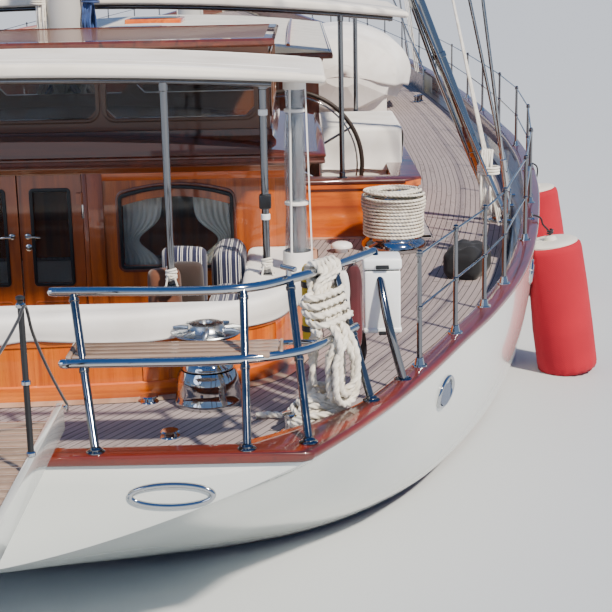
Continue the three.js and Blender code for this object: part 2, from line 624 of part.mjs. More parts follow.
// Winches: chrome bases with turning drums aft, rope-wound drums by the helm.
for (const [name, side] of sides) {
  const at2 = [1360, side * 1570];
  add(`aft_winch_base_${name}`, 'steel', turned(
    [[0, deckZ + seat], [215, deckZ + seat], [215, 1250], [175, 1330], [150, 1430], [0, 1430]], 16, ...at2));
  add(`aft_winch_drum_${name}`, 'steel', turned(
    [[0, 1430 + seat], [165, 1430 + seat], [130, 1500], [125, 1580], [165, 1640], [225, 1670], [225, 1700],
      [110, 1725], [0, 1725]], 16, ...at2));
  add(`primary_winch_${name}`, 'steel', turned(
    [[0, deckZ + seat], [310, deckZ + seat], [310, 1300], [270, 1330], [285, 1340], [285, 1670], [240, 1690],
      [240, 1740], [0, 1740]], 18, 6000, side * 3050));
}

// Pushpits round the quarters: raked posts, two rails, a seat board and a leg at the open end.
const pushpitPosts = [
  [[30, 1046], [526, 892]], [[30, 1866], [515, 1850]], [[110, 2200], [722, 2110]], [[780, 2575], [1043, 2369]],
];
const topRail = { z: 2140, course: [[526, 776], [511, 1840], [722, 2110], [1043, 2369], [1436, 2628]] };
const midRail = { z: 1790, course: [[277, 856], [297, 1857], [440, 2170], [601, 2299], [935, 2490]] };
const railRadius = 27;
const railSocket = 28.2;          // the same rails with room round them
const rail = ({ z, course }, side, radius) => tube(course.map(([x, y]) => [x, side * y, z]), radius, 12, 6);
const railLeg = (side, radius) => tube([[1436, side * 2628, topRail.z], [1330, side * 2655, 2020],
  [1180, side * 2700, 1760], [1160, side * 2790, capTop(1160) - 20]], radius, 10, 6);
for (const [name, side] of sides) {
  const posts = pushpitPosts.map(([foot, top]) => rod([foot[0], side * foot[1], capTop(foot[0]) - 30],
    [top[0], side * top[1], topRail.z], 24, 6));
  const board = box(300, 590, side * 900, side * 2060, 1790, 1822);
  const frame = union([...posts, rail(topRail, side, railRadius), rail(midRail, side, railRadius), board,
    railLeg(side, railRadius)]);
  add(`pushpit_${name}`, 'steel', frame.subtract(cap.translate([0, 0, seat])));
}
const boxSockets = rail(topRail, -1, railSocket).add(railLeg(-1, railSocket));
add('buoy_box', 'paint', box(1290, 1500, -2790, -2560, 1650, 2125).subtract(boxSockets));

// Stanchions on the cap with two lifelines a side.
const stanchionX = [1400, 2100, 2760, 3430, 4970];
for (let x = 6700; x < 38600; x += 1950) stanchionX.push(x);
const lineHeights = [380, 720];
const lineY = (x) => at(x, 'breadth') - 60;
for (const [name, side] of sides) {
  const posts = stanchionX.map((x) => rod([x, side * lineY(x), capTop(x) - 40],
    [x, side * lineY(x), capTop(x) + 740], 18, 4));
  const wires = lineHeights.flatMap((h) => stanchionX.slice(1).map((x, i) => {
    const from = stanchionX[i];
    return rod([from, side * lineY(from), capTop(from) + h], [x, side * lineY(x), capTop(x) + h], 9, 3);
  }));
  add(`lifelines_${name}`, 'steel', union([...posts, ...wires]).subtract(cap.translate([0, 0, seat])));
}

// Pulpit at the bow.
const pulpitFeet = [[39200, 1], [41000, 1], [42500, 0.5]];
function pulpit() {
  const y = (x) => Math.max(at(x, 'breadth') - 90, 60);
  const rails = [700, 360].map((h) => {
    const half = [39200, 40400, 41600, 42500].map((x) => [x, y(x), capTop(x) + h]);
    const bow = [42800, 0, capTop(42800) + h];
    return tube([...half, bow, ...half.slice().reverse().map(([a, b, c]) => [a, -b, c])], 24, 14, 5);
  });
  const posts = pulpitFeet.flatMap(([x]) => sides.map(([, side]) => rod([x, side * y(x), capTop(x) - 40],
    [x, side * y(x), capTop(x) + 700], 20, 5)));
  return union([...rails, ...posts]).subtract(cap.translate([0, 0, seat]));
}
add('pulpit', 'steel', pulpit());

// Boat davit on the starboard side deck.
add('davit', 'steel', union([
  tube([[7300, -4250, 1200], [7300, -4000, 1900], [7300, -3620, 2900], [7300, -3200, 3900], [7300, -2900, 4300],
    [7300, -2400, 4550], [7300, -1900, 4600]], 60, 16),
  rod([7300, -4260, deckZ], [7300, -4260, 1240], 140, 12),
]).subtract(underDeck));

// Masts with spreaders, booms with the furled sails on them.
const wire = 20;
const mastTable = [
  { name: 'main', x: mastX, radius: 260, top: 40500, spreaders: [12000, 21500, 31000], chain: [20650, 21500, 22350],
    boom: { pivot: mastX - 380, nose: 60, neck: 220, radius: 170, length: 12400 } },
  { name: 'mizzen', x: mizzenX, radius: 190, top: 31000, spreaders: [11000, 20000], chain: [5500, 6300, 6900],
    boom: { pivot: mizzenX - 300, nose: 50, neck: 150, radius: 130, length: 6700 } },
];
for (const mast of mastTable) {
  const foot = mast.name === 'main' ? 1200 : deckZ;
  const head = mast.top - 300;
  const chainY = (x) => at(x, 'breadth') - 265;
  const radiusAt = (z) => mast.radius * (1 - (0.45 * (z - foot)) / (mast.top - foot));
  const chainZ = railZ(mast.x) + 150;
  const capShroudY = (z) => THREE.MathUtils.mapLinear(z, chainZ, head, chainY(mast.x), radiusAt(head) + 30);
  const spar = rod([mast.x, 0, foot], [mast.x, 0, mast.top], mast.radius, 12, mast.radius * 0.55);
  const arms = mast.spreaders.flatMap((z) => sides.map(([, side]) => rod([mast.x, 0, z],
    [mast.x, side * (capShroudY(z) - wire - 6), z], 55, 6, 30)));
  const bracket = box(mast.boom.pivot + mast.boom.nose + seat, mast.x, -60, 60, boomZ - 130, boomZ + 130);
  add(`${mast.name}_mast`, 'spar', union([spar, bracket, ...arms]).subtract(underDeck));
  const heights = [head, mast.spreaders[mast.spreaders.length - 1] - 200, mast.spreaders[0] - 200];
  const collars = heights.map((z) => {
    const inner = radiusAt(z - 40) + 2 * seat;
    return turned([[inner, z - 40], [inner + 50, z - 40], [inner + 50, z + 40], [inner, z + 40], [inner, z - 40]],
      12, mast.x, 0);
  });
  const rigging = sides.flatMap(([, side]) => {
    const bar = loft([mast.chain[0] - 60, ...mast.chain.slice(1, 2), mast.chain[2] + 60].map((x) => [
      [x, side * (chainY(x) - 15), at(x, 'deck') + seat], [x, side * (chainY(x) + 15), at(x, 'deck') + seat],
      [x, side * (chainY(x) + 15), railZ(x) + 200], [x, side * (chainY(x) - 15), railZ(x) + 200],
    ]));
    const stays = mast.chain.map((x, i) => {
      const z = heights[[2, 0, 1][i]];
      return rod([x, side * chainY(x), chainZ], [mast.x + (x - mast.x) * 0.02, side * (radiusAt(z) + 30), z], wire, 5);
    });
    return [bar, ...stays];
  });
  add(`${mast.name}_shrouds`, 'steel', union([...collars, ...rigging]));
}

// A boom turns on a round gooseneck behind the mast's bracket.
function boom({ pivot, nose, neck, radius, length }) {
  const from = pivot - neck;
  const spar = union([
    rod([pivot, 0, boomZ - 110], [pivot, 0, boomZ + 110], nose, 12),
    rod([pivot, 0, boomZ], [from - 20, 0, boomZ], nose - 6, 8),
    rod([from, 0, boomZ], [from - length, 0, boomZ], radius, 10),
  ]);
  const rings = [[0.02, 0.55], [0.12, 1.3], [0.5, 1.15], [0.9, 0.75], [0.98, 0.35]].map(([share, size]) => {
    const cx = from - length * share;
    return Array.from({ length: 8 }, (_, i) => {
      const angle = (2 * Math.PI * i) / 8;
      return [cx, radius * size * Math.cos(angle), boomZ + radius * (0.8 + size * 1.2 + size * 1.4 * Math.sin(angle))];
    });
  });
  return union([spar, loft(rings)]);
}
for (const mast of mastTable) add(`${mast.name}_boom`, 'canvas', boom(mast.boom));

// Furled headsail on the forestay: a share of its length and the radius there.
const stayFoot = [41600, 2060];
const stayHead = [mastX + 330, 38000];
const stayLength = Math.hypot(stayHead[0] - stayFoot[0], stayHead[1] - stayFoot[1]);
const stayAlong = [(stayHead[0] - stayFoot[0]) / stayLength, (stayHead[1] - stayFoot[1]) / stayLength];
const jibRings = [[0, 40], [0.03, 40], [0.033, 130], [0.5, 150], [1, 50]].map(([share, radius]) => {
  return Array.from({ length: 8 }, (_, i) => {
    const across = radius * Math.cos((Math.PI * i) / 4);
    const up = radius * Math.sin((Math.PI * i) / 4);
    return [stayFoot[0] + share * stayLength * stayAlong[0] - up * stayAlong[1], across,
      stayFoot[1] + share * stayLength * stayAlong[1] + up * stayAlong[0]];
  });
});
add('furled_jib', 'canvas', loft(jibRings).subtract(underDeck));

// Fore hatch lid, red side fenders, coiled warp on the pushpit, covered boat on deck, gangway.
add('fore_hatch_lid', 'varnish', box(27000, 28000, -500, 500, 1200, at(28000, 'deck') + 90).subtract(underDeck));
const fenders = [
  { name: 'aft', x: 5870, y: -4630, radius: 285 },
  { name: 'forward', x: 8950, y: -4985, radius: 255 },
];
for (const { name, x, y, radius } of fenders) {
  const half = 655;
  const shoulder = 60;
  const body = turned([[0, -half], [radius - shoulder, -half], [radius, shoulder - half], [radius, half - shoulder],
    [radius - shoulder, half], [0, half]], 20, 0, 0);
  const hung = body.rotate([-5, 0, 0]).translate([x, y, half - 20]);
  add(`fender_${name}`, 'red', hung.subtract(bareHull.translate([0, -1, 0])));
}
// The hank hangs under the top rail, then outside the middle rail: across the rail and up.
const hankSection = [[-45, 2112], [45, 2112], [-135, 1790], [-135, 1300], [-240, 1300], [-240, 1790]];
const railHeading = -38.9;
add('warp_hank', 'rope', upright(hankSection, -60, 60).rotate([90, 0, 0]).rotate([0, 0, 90 + railHeading])
  .translate([919, -2269, 0]).subtract(rail(midRail, -1, railSocket)));
const coverRings = [[17300, 0.25], [17500, 0.75], [18200, 1], [19600, 1], [20400, 0.7], [20600, 0.2]].map(([x, s]) => {
  return Array.from({ length: 10 }, (_, i) => {
    const angle = (2 * Math.PI * i) / 10;
    return [x, -2900 + 1250 * s * Math.cos(angle), 1900 + 800 * s * Math.sin(angle)];
  });
});
const boatCover = loft(coverRings).add(box(17700, 20200, -3700, -2100, 1200, 1500)).subtract(underDeck);
add('deck_boat_cover', 'canvas', boatCover);
const plankTop = 1460;
add('gangway', 'paint', union([
  box(-3800, 300, -840, 40, plankTop - 60, plankTop),
  box(-3800, 300, -840, -800, plankTop - 60, plankTop + 100),
  box(-3800, 300, 0, 40, plankTop - 60, plankTop + 100),
  box(-30, 100, -700, -100, capTop(0) + seat, plankTop - 20),
  ...[-3600, -2080, -560].map((x) => rod([x, -820, plankTop], [x, -820, plankTop + 900], 16, 6)),
]).subtract(cap.translate([0, 0, seat])));

export default group;
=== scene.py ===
import bpy
import bmesh
import math
import random
import numpy as np
from mathutils import Matrix, Vector


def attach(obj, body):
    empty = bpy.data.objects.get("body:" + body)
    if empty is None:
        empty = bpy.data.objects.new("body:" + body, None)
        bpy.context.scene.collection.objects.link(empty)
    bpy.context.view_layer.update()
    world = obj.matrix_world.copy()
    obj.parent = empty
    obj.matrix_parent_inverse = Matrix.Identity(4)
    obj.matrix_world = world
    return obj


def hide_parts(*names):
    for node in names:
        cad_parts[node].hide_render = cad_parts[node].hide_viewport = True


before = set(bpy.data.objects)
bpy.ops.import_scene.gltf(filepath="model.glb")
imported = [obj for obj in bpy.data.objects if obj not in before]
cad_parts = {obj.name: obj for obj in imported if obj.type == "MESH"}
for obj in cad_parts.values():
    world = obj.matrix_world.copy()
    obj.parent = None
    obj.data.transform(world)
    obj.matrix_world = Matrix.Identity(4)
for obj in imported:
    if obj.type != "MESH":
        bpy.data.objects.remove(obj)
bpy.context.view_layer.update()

# Everything is drawn in full-size millimetres, x from the transom, y to port, z from the water,
# and halved into the metres of the 1:2 model at the very end.
modelScale = 0.0005
transomX = 22000
deckZ = 1200


def spot(x, y, z):
    return Vector(((x - transomX) * modelScale, y * modelScale, z * modelScale))


def circle(count):
    # the angles of so many even steps round a circle
    return [2 * math.pi * k / count for k in range(count)]


def onRing(centre, radius, angle, z):
    return centre[0] + radius * math.cos(angle), centre[1] + radius * math.sin(angle), z


def upBy(z):
    return Vector((0, 0, z))


# camera first: it stands on the quay behind the starboard quarter and looks forward
cameraView = {"at": (-7130, -2200, 3950), "lens": 82.35, "pitch": 14.1, "yaw": 0.0, "roll": 1.2}


def newObject(name, data):
    made = bpy.data.objects.new(name, data)
    bpy.context.scene.collection.objects.link(made)
    return made


def makeCamera(view):
    data = bpy.data.cameras.new("quayCamera")
    data.lens, data.sensor_width, data.clip_end = view["lens"], 36, 400
    camera = newObject("quayCamera", data)
    turn = (Matrix.Rotation(math.radians(view["yaw"] - 90), 4, "Z")
            @ Matrix.Rotation(math.radians(90 - view["pitch"]), 4, "X")
            @ Matrix.Rotation(math.radians(-view["roll"]), 4, "Z"))
    camera.matrix_world = Matrix.Translation(spot(*view["at"])) @ turn
    bpy.context.scene.camera = camera


makeCamera(cameraView)


# meshes are lists of points and faces in full-size millimetres until they become a piece
def loft(rings, closed=False, capped=True):
    count = len(rings[0])
    points = [p for ring in rings for p in ring]
    faces = []
    for i in range(len(rings) if closed else len(rings) - 1):
        a, b = i * count, ((i + 1) % len(rings)) * count
        faces += [(a + j, a + (j + 1) % count, b + (j + 1) % count, b + j) for j in range(count)]
    if capped and not closed:
        faces += [tuple(reversed(range(count))), tuple(range(len(points) - count, len(points)))]
    return points, faces


def smoothPath(points, steps, closed=False):
    # a centripetal curve through the points, resampled evenly
    p = [Vector(q) for q in points]
    ends = [p[-1], *p, p[0], p[1]] if closed else [p[0] * 2 - p[1], *p, p[-1] * 2 - p[-2]]
    fine = []
    for i in range(1, len(ends) - 2):
        a, b, c, d = ends[i - 1:i + 3]
        t = [0.0]
        for u, v in ((a, b), (b, c), (c, d)):
            t.append(t[-1] + max((v - u).length, 1e-6) ** 0.5)
        for k in range(24):
            s = t[1] + (t[2] - t[1]) * k / 24
            ab = a.lerp(b, (s - t[0]) / (t[1] - t[0]))
            bc = b.lerp(c, (s - t[1]) / (t[2] - t[1]))
            cd = c.lerp(d, (s - t[2]) / (t[3] - t[2]))
            fine.append(ab.lerp(bc, (s - t[0]) / (t[2] - t[0])).lerp(bc.lerp(cd, (s - t[1]) / (t[3] - t[1])),
                                                                      (s - t[1]) / (t[2] - t[1])))
    fine.append(ends[-2] if not closed else fine[0].copy())
    along = np.concatenate([[0], np.cumsum([(fine[i + 1] - fine[i]).length for i in range(len(fine) - 1)])])
    at = np.linspace(0, along[-1], steps + 1)
    out = [Vector([np.interp(s, along, [f[k] for f in fine]) for k in range(3)]) for s in at]
    return out[:-1] if closed else out


def tube(path, radius, sides=12, closed=False):
    path = [Vector(p) for p in path]
    count = len(path)
    radii = radius if isinstance(radius, (list, tuple)) else [radius] * count
    tangents = []
    for i in range(count):
        a = path[(i - 1) % count] if closed or i else path[0]
        b = path[(i + 1) % count] if closed or i < count - 1 else path[-1]
        tangents.append((b - a).normalized())
    side = tangents[0].orthogonal().normalized()
    frames = []
    for i in range(count):
        if i:
            turn = tangents[i - 1].rotation_difference(tangents[i])
            side = turn @ side
        frames.append(side.copy())
    twist = 0.0
    if closed:
        last = tangents[-1].rotation_difference(tangents[0]) @ frames[-1]
        twist = math.atan2(last.cross(frames[0]).dot(tangents[0]), last.dot(frames[0]))
    rings = []
    for i in range(count):
        u = Matrix.Rotation(twist * i / count, 3, tangents[i]) @ frames[i]
        v = tangents[i].cross(u)
        rings.append([path[i] + radii[i] * (u * math.cos(t) + v * math.sin(t)) for t in circle(sides)])
    return loft(rings, closed)


def rod(a, b, radius, sides=12, endRadius=None, edge=0):
    a, b = Vector(a), Vector(b)
    last = radius if endRadius is None else endRadius
    if not edge:
        return tube([a, b], [radius, last], sides)
    step = (b - a).normalized() * edge
    return tube([a, a + step, b - step, b], [radius - edge, radius, last, last - edge], sides)


def turned(profile, centre, sides=32, axis=(0, 0, 1)):
    # profile rows are radius and height along the axis from the centre
    aim = upBy(1).rotation_difference(Vector(axis))
    rings = []
    for r, h in profile:
        r = max(r, 0.4)
        rings.append([Vector(centre) + aim @ Vector((r * math.cos(t), r * math.sin(t), h))
                      for t in circle(sides)])
    return loft(rings)


def block(low, high, edge=4, segments=2):
    # a block with eased edges
    bm = bmesh.new()
    bmesh.ops.create_cube(bm, size=1)
    low, high = Vector(map(min, low, high)), Vector(map(max, low, high))
    for v in bm.verts:
        v.co = Vector([low[k] if v.co[k] < 0 else high[k] for k in range(3)])
    edge = min(edge, 0.45 * min(high - low))
    if edge > 0:
        bmesh.ops.bevel(bm, geom=bm.edges[:], offset=edge, segments=segments, profile=0.5, affect="EDGES")
    return takeMesh(bm)


def takeMesh(bm):
    bm.verts.index_update()
    made = [v.co.copy() for v in bm.verts], [tuple(v.index for v in f.verts) for f in bm.faces]
    bm.free()
    return made


def plate(outline, offset, hole=None, edge=0):
    # a flat outline pushed along an offset; a hole has the same count of points
    outline, offset = [Vector(p) for p in outline], Vector(offset)
    count = len(outline)
    if hole is None:
        made = loft([outline, [p + offset for p in outline]])
        return easeEdges(made, edge) if edge else made
    hole = [Vector(p) for p in hole]
    points = outline + hole + [p + offset for p in outline] + [p + offset for p in hole]
    faces = []
    for i in range(count):
        j = (i + 1) % count
        faces += [(i, j, count + j, count + i), (2 * count + j, 2 * count + i, 3 * count + i, 3 * count + j),
                  (j, i, 2 * count + i, 2 * count + j), (count + i, count + j, 3 * count + j, 3 * count + i)]
    return points, faces


def easeEdges(made, edge, angle=40, segments=2):
    bm = bmesh.new()
    verts = [bm.verts.new(p) for p in made[0]]
    for f in made[1]:
        bm.faces.new([verts[i] for i in f])
    bmesh.ops.recalc_face_normals(bm, faces=bm.faces[:])
    sharp = [e for e in bm.edges if len(e.link_faces) == 2 and e.calc_face_angle(0) > math.radians(angle)]
    bmesh.ops.bevel(bm, geom=sharp, offset=edge, segments=segments, profile=0.5, affect="EDGES",
                    clamp_overlap=True)
    return takeMesh(bm)


def gridFaces(rows, cols):
    n = cols + 1
    return [(i * n + j, i * n + j + 1, (i + 1) * n + j + 1, (i + 1) * n + j) for i in range(rows)
            for j in range(cols)]


def joined(parts):
    points, faces = [], []
    for p, f in parts:
        start = len(points)
        points += p
        faces += [tuple(i + start for i in face) for face in f]
    return points, faces


def tidyMesh(mesh, sharp=None, weld=0):
    bm = bmesh.new()
    bm.from_mesh(mesh)
    if weld:
        bmesh.ops.remove_doubles(bm, verts=bm.verts[:], dist=weld)
    bmesh.ops.recalc_face_normals(bm, faces=bm.faces[:])
    bm.to_mesh(mesh)
    bm.free()
    mesh.shade_smooth()
    if sharp:
        mesh.set_sharp_from_angle(angle=math.radians(sharp))


def makePiece(name, parts, material, body="root", replaces=(), sharp=38, values=None, uv=None):
    points, faces = joined(parts)
    mesh = bpy.data.meshes.new(name)
    mesh.from_pydata([spot(*p) for p in points], [], faces)
    if uv is not None:
        layer = mesh.uv_layers.new(name="UVMap")
        for loop in mesh.loops:
            layer.data[loop.index].uv = uv[loop.vertex_index]
    for key, numbers in (values or {}).items():
        mesh.attributes.new(key, "FLOAT", "POINT").data.foreach_set("value", numbers)
    tidyMesh(mesh, sharp, 1e-6)
    return placePiece(name, mesh, material, body, replaces)


def placePiece(name, mesh, material, body="root", replaces=()):
    mesh.materials.clear()
    mesh.materials.append(material)
    piece = newObject(name, mesh)
    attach(piece, body)
    if replaces:
        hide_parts(*replaces)
    return piece


def paint(**looks):
    # solids that keep their own shape and only take a material
    for node, look in looks.items():
        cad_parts[node].data.materials[0] = look


def mirrored(made):
    points, faces = made
    return [Vector((p[0], -p[1], p[2])) for p in points], [tuple(reversed(f)) for f in faces]


def both(made):
    return [made, mirrored(made)]


def moved(made, offset, turn=0, about=(0, 0, 0), axis="Z"):
    spin = Matrix.Rotation(math.radians(turn), 3, axis)
    return [spin @ (Vector(p) - Vector(about)) + Vector(about) + Vector(offset) for p in made[0]], made[1]


# materials
def colour(code):
    # sRGB hex to linear
    parts = [int(code[i:i + 2], 16) / 255 for i in (1, 3, 5)]
    return (*[c / 12.92 if c <= 0.04045 else ((c + 0.055) / 1.055) ** 2.4 for c in parts], 1)


def addNode(tree, kind, inputs=None, **settings):
    made = tree.nodes.new(kind)
    for key, value in settings.items():
        setattr(made, key, value)
    for key, value in (inputs or {}).items():
        socket = made.inputs[key]
        if isinstance(value, bpy.types.NodeSocket):
            tree.links.new(value, socket)
        elif isinstance(value, bpy.types.Node):
            tree.links.new(value.outputs[0], socket)
        else:
            socket.default_value = value
    return made


def perMetre(millimetres):
    # a noise or wave scale for a pattern of that size on the model
    return 1000 / millimetres


def mathNode(tree, operation, *values):
    return addNode(tree, "ShaderNodeMath", dict(enumerate(values)), operation=operation).outputs[0]


def noise(tree, at, size, detail, **more):
    return addNode(tree, "ShaderNodeTexNoise",
                   {"Vector": at, "Scale": perMetre(size), "Detail": detail, **more}).outputs[0]


def threads(tree, at, size, **more):
    # diagonal waves as wide as a thread
    return addNode(tree, "ShaderNodeTexWave", {"Vector": at, "Scale": perMetre(size) / 6.28, **more},
                   bands_direction="DIAGONAL").outputs[1]


def pointOn(tree, source="Object"):
    return addNode(tree, "ShaderNodeTexCoord").outputs[source]


def newMaterial(name, code, **shader):
    material = bpy.data.materials.new(name)
    material.use_nodes = True
    tree = material.node_tree
    tree.nodes.clear()
    surface = addNode(tree, "ShaderNodeBsdfPrincipled", {"Base Color": colour(code)})
    for key, value in shader.items():
        surface.inputs[key.replace("_", " ")].default_value = value
    addNode(tree, "ShaderNodeOutputMaterial", {"Surface": surface})
    return material, tree, surface


def blendColours(tree, share, first, second):
    made = addNode(tree, "ShaderNodeMix", {0: share}, data_type="RGBA")
    for index, code in ((6, first), (7, second)):
        if isinstance(code, str):
            made.inputs[index].default_value = colour(code)
        else:
            tree.links.new(code, made.inputs[index])
    return made.outputs[2]


def steep(tree, value, low, high):
    return addNode(tree, "ShaderNodeMapRange", {0: value, 1: low, 2: high}, clamp=True).outputs[0]


def bumpInto(tree, surface, height, strength, distance):
    bump = addNode(tree, "ShaderNodeBump", {"Height": height, "Strength": strength, "Distance": distance})
    tree.links.new(bump.outputs[0], surface.inputs["Normal"])


def clouded(tree, surface, cloud, low, high, code, shade):
    # the base colour drifts to a second shade in soft clouds
    tone = blendColours(tree, steep(tree, cloud, low, high), code, shade)
    tree.links.new(tone, surface.inputs["Base Color"])


def varnishedWood(name, tones, axis, figure=45, stave=0, source="Object", across=None):
    # hardwood under many rubbed coats of gloss varnish: a deep mirror gloss over running grain
    pale, mid, dark = tones
    material, tree, surface = newMaterial(name, mid, Roughness=0.42, Coat_Weight=1.0, Coat_Roughness=0.035,
                                          Coat_IOR=1.5)
    at = pointOn(tree, source)
    run = addNode(tree, "ShaderNodeMapping",
                  {"Vector": at, "Scale": [0.06 if letter == axis else 1.0 for letter in "XYZ"]})
    broad, slow = noise(tree, run, figure, 4.0, Distortion=0.6), noise(tree, run, figure * 2, 2.0)
    pores = noise(tree, run, 1.6, 3.0)
    tone = blendColours(tree, steep(tree, broad, 0.32, 0.68), dark, pale)
    tone = blendColours(tree, steep(tree, slow, 0.35, 0.7), tone, mid)
    soft = mathNode(tree, "MULTIPLY", steep(tree, pores, 0.54, 0.68), 0.35)
    tone = blendColours(tree, soft, tone, dark)
    if stave:
        # boards a little apart in tone, with a thin glue line between them
        parts = addNode(tree, "ShaderNodeSeparateXYZ", {0: at})
        across = {"X": 1, "Z": 1, "Y": 2}[axis] if across is None else across
        count = mathNode(tree, "MULTIPLY", parts.outputs[across], perMetre(stave))
        lot = addNode(tree, "ShaderNodeTexWhiteNoise", {"W": mathNode(tree, "FLOOR", count)},
                      noise_dimensions="1D")
        lift = addNode(tree, "ShaderNodeMapRange", {0: lot, 3: 0.82, 4: 1.14})
        toned = addNode(tree, "ShaderNodeHueSaturation", {"Color": tone, "Value": lift})
        line = steep(tree, mathNode(tree, "FRACT", count), 0.02, 0.006)
        tone = blendColours(tree, line, toned.outputs[0], dark)
    tree.links.new(tone, surface.inputs["Base Color"])
    bumpInto(tree, surface, pores, 0.05, 0.0003)
    return material


def deckTeak(name, pale, mid, dark, plank=28, seam="#23211f"):
    # bare teak scrubbed silver brown, laid in narrow planks with black caulking between them
    material, tree, surface = newMaterial(name, mid, Roughness=0.82)
    across, along = [addNode(tree, "ShaderNodeAttribute", attribute_name=key).outputs["Fac"]
                     for key in ("across", "along")]
    count = mathNode(tree, "MULTIPLY", across, perMetre(plank))
    number = mathNode(tree, "FLOOR", count)
    lot = addNode(tree, "ShaderNodeTexWhiteNoise", {"W": number}, noise_dimensions="1D")
    # the butts of a plank, every few metres and staggered
    lengths = mathNode(tree, "MULTIPLY", mathNode(tree, "MULTIPLY_ADD", lot, 3.1, along), 1 / 2.4)
    place = addNode(tree, "ShaderNodeCombineXYZ", {0: number, 1: mathNode(tree, "FLOOR", lengths)})
    board = addNode(tree, "ShaderNodeTexWhiteNoise", {"Vector": place}, noise_dimensions="2D")
    at = addNode(tree, "ShaderNodeCombineXYZ", {0: along, 1: across, 2: lot})
    run = addNode(tree, "ShaderNodeMapping", {"Vector": at, "Scale": (0.05, 1.0, 1.0)})
    grain = noise(tree, run, 3.5, 4.0)
    tone = blendColours(tree, board.outputs[0], mid, pale)
    tone = blendColours(tree, steep(tree, grain, 0.62, 0.35), tone, dark)
    tone = blendColours(tree, steep(tree, noise(tree, at, 420, 3.0), 0.75, 0.4), tone, mid)

    def gap(value, low, high):
        # a line where one board ends and the next begins
        off = mathNode(tree, "SUBTRACT", mathNode(tree, "FRACT", value), 0.5)
        return steep(tree, mathNode(tree, "ABSOLUTE", off), low, high)

    lines = mathNode(tree, "MAXIMUM", gap(count, 0.435, 0.455), gap(lengths, 0.4985, 0.4992))
    tree.links.new(blendColours(tree, lines, tone, seam), surface.inputs["Base Color"])
    bumpInto(tree, surface, mathNode(tree, "MULTIPLY_ADD", lines, -1.0, grain), 0.35, 0.001)
    return material


def glossPaint(name, code, dull, roughness=0.16, coat=0.6):
    # two-pack yacht enamel, sprayed and polished: a clean mirror with the faintest orange peel
    material, tree, surface = newMaterial(name, code, Roughness=roughness, Coat_Weight=coat,
                                          Coat_Roughness=0.03)
    at = pointOn(tree)
    clouded(tree, surface, noise(tree, at, 900, 3.0), 0.35, 0.7, code, dull)
    bumpInto(tree, surface, noise(tree, at, 7, 1.0), 0.03, 0.0004)
    return material


def polishedMetal(name, code, roughness=0.09, brushed=0.0):
    # stainless steel or chromed bronze, mirror polished, with the fine haze that salt leaves
    material, tree, surface = newMaterial(name, code, Metallic=1.0)
    at = pointOn(tree)
    rough = addNode(tree, "ShaderNodeMapRange", {0: noise(tree, at, 60, 4.0), 1: 0.3, 2: 0.8,
                                                 3: roughness * 0.6, 4: roughness * 1.7})
    tree.links.new(rough.outputs[0], surface.inputs["Roughness"])
    if brushed:
        bumpInto(tree, surface, noise(tree, at, 0.9, 2.0), brushed, 0.0002)
    return material


def wovenCloth(name, code, shade, thread=1.6, sheen=0.25, strength=0.35, soil=220):
    # woven acrylic or cotton canvas: matt, a square weave, a little soiling in the low places
    material, tree, surface = newMaterial(name, code, Roughness=0.88, Sheen_Weight=sheen, Sheen_Roughness=0.5)
    at = pointOn(tree)
    flip = addNode(tree, "ShaderNodeMapping", {"Vector": at, "Scale": (1.0, -1.0, 1.0)})
    weave = mathNode(tree, "ADD", *[threads(tree, lie, thread, Distortion=0.4) for lie in (at, flip)])
    clouded(tree, surface, noise(tree, at, soil, 5.0), 0.42, 0.75, code, shade)
    bumpInto(tree, surface, weave, strength, 0.0004)
    return material


def stripedCloth(name, base, stripes, width, axis):
    # deck-chair cloth, navy bands on white with thin lines between, woven through
    material, tree, surface = newMaterial(name, base, Roughness=0.86, Sheen_Weight=0.3, Sheen_Roughness=0.5)
    at = pointOn(tree)
    parts = addNode(tree, "ShaderNodeSeparateXYZ", {0: at})
    count = mathNode(tree, "MULTIPLY", parts.outputs["XYZ".index(axis)], perMetre(width))
    share, tone = mathNode(tree, "FRACT", count), base
    for low, high, code in stripes:
        inside = mathNode(tree, "MULTIPLY", mathNode(tree, "GREATER_THAN", share, low),
                          mathNode(tree, "LESS_THAN", share, high))
        tone = blendColours(tree, inside, tone, code)
    tree.links.new(tone, surface.inputs["Base Color"])
    bumpInto(tree, surface, noise(tree, at, 1.5, 2.0), 0.25, 0.0004)
    return material


def ropeFibre(name, code, shade):
    # laid polyester, off-white, each strand with its own fine yarns and grey in the hollows
    material, tree, surface = newMaterial(name, code, Roughness=0.8, Sheen_Weight=0.35, Sheen_Roughness=0.4)
    at = pointOn(tree)
    clouded(tree, surface, noise(tree, at, 35, 4.0), 0.4, 0.75, code, shade)
    bumpInto(tree, surface, threads(tree, at, 2.2, Distortion=1.5, Detail=2.0), 0.4, 0.0006)
    return material


def plainMoulded(name, code, shade, roughness=0.4, grit=4, strength=0.12, **shader):
    # moulded plastic or rubber: even colour, a soft grain, slightly dulled by weather
    material, tree, surface = newMaterial(name, code, Roughness=roughness, **shader)
    at = pointOn(tree)
    clouded(tree, surface, noise(tree, at, 180, 3.0), 0.4, 0.75, code, shade)
    bumpInto(tree, surface, noise(tree, at, grit, 2.0), strength, 0.0003)
    return material


def clearSheet(name, code, roughness, opacity, ior=1.45):
    # glass or clear vinyl: mostly let through, with a tint and a surface gloss
    material, tree, surface = newMaterial(name, code, Roughness=roughness, IOR=ior, Transmission_Weight=0.85,
                                          Alpha=opacity, Coat_Weight=1.0, Coat_Roughness=0.02)
    rough = addNode(tree, "ShaderNodeMapRange", {0: noise(tree, pointOn(tree), 45, 3.0), 3: roughness * 0.5,
                                                 4: roughness * 1.6})
    tree.links.new(rough.outputs[0], surface.inputs["Roughness"])
    return material


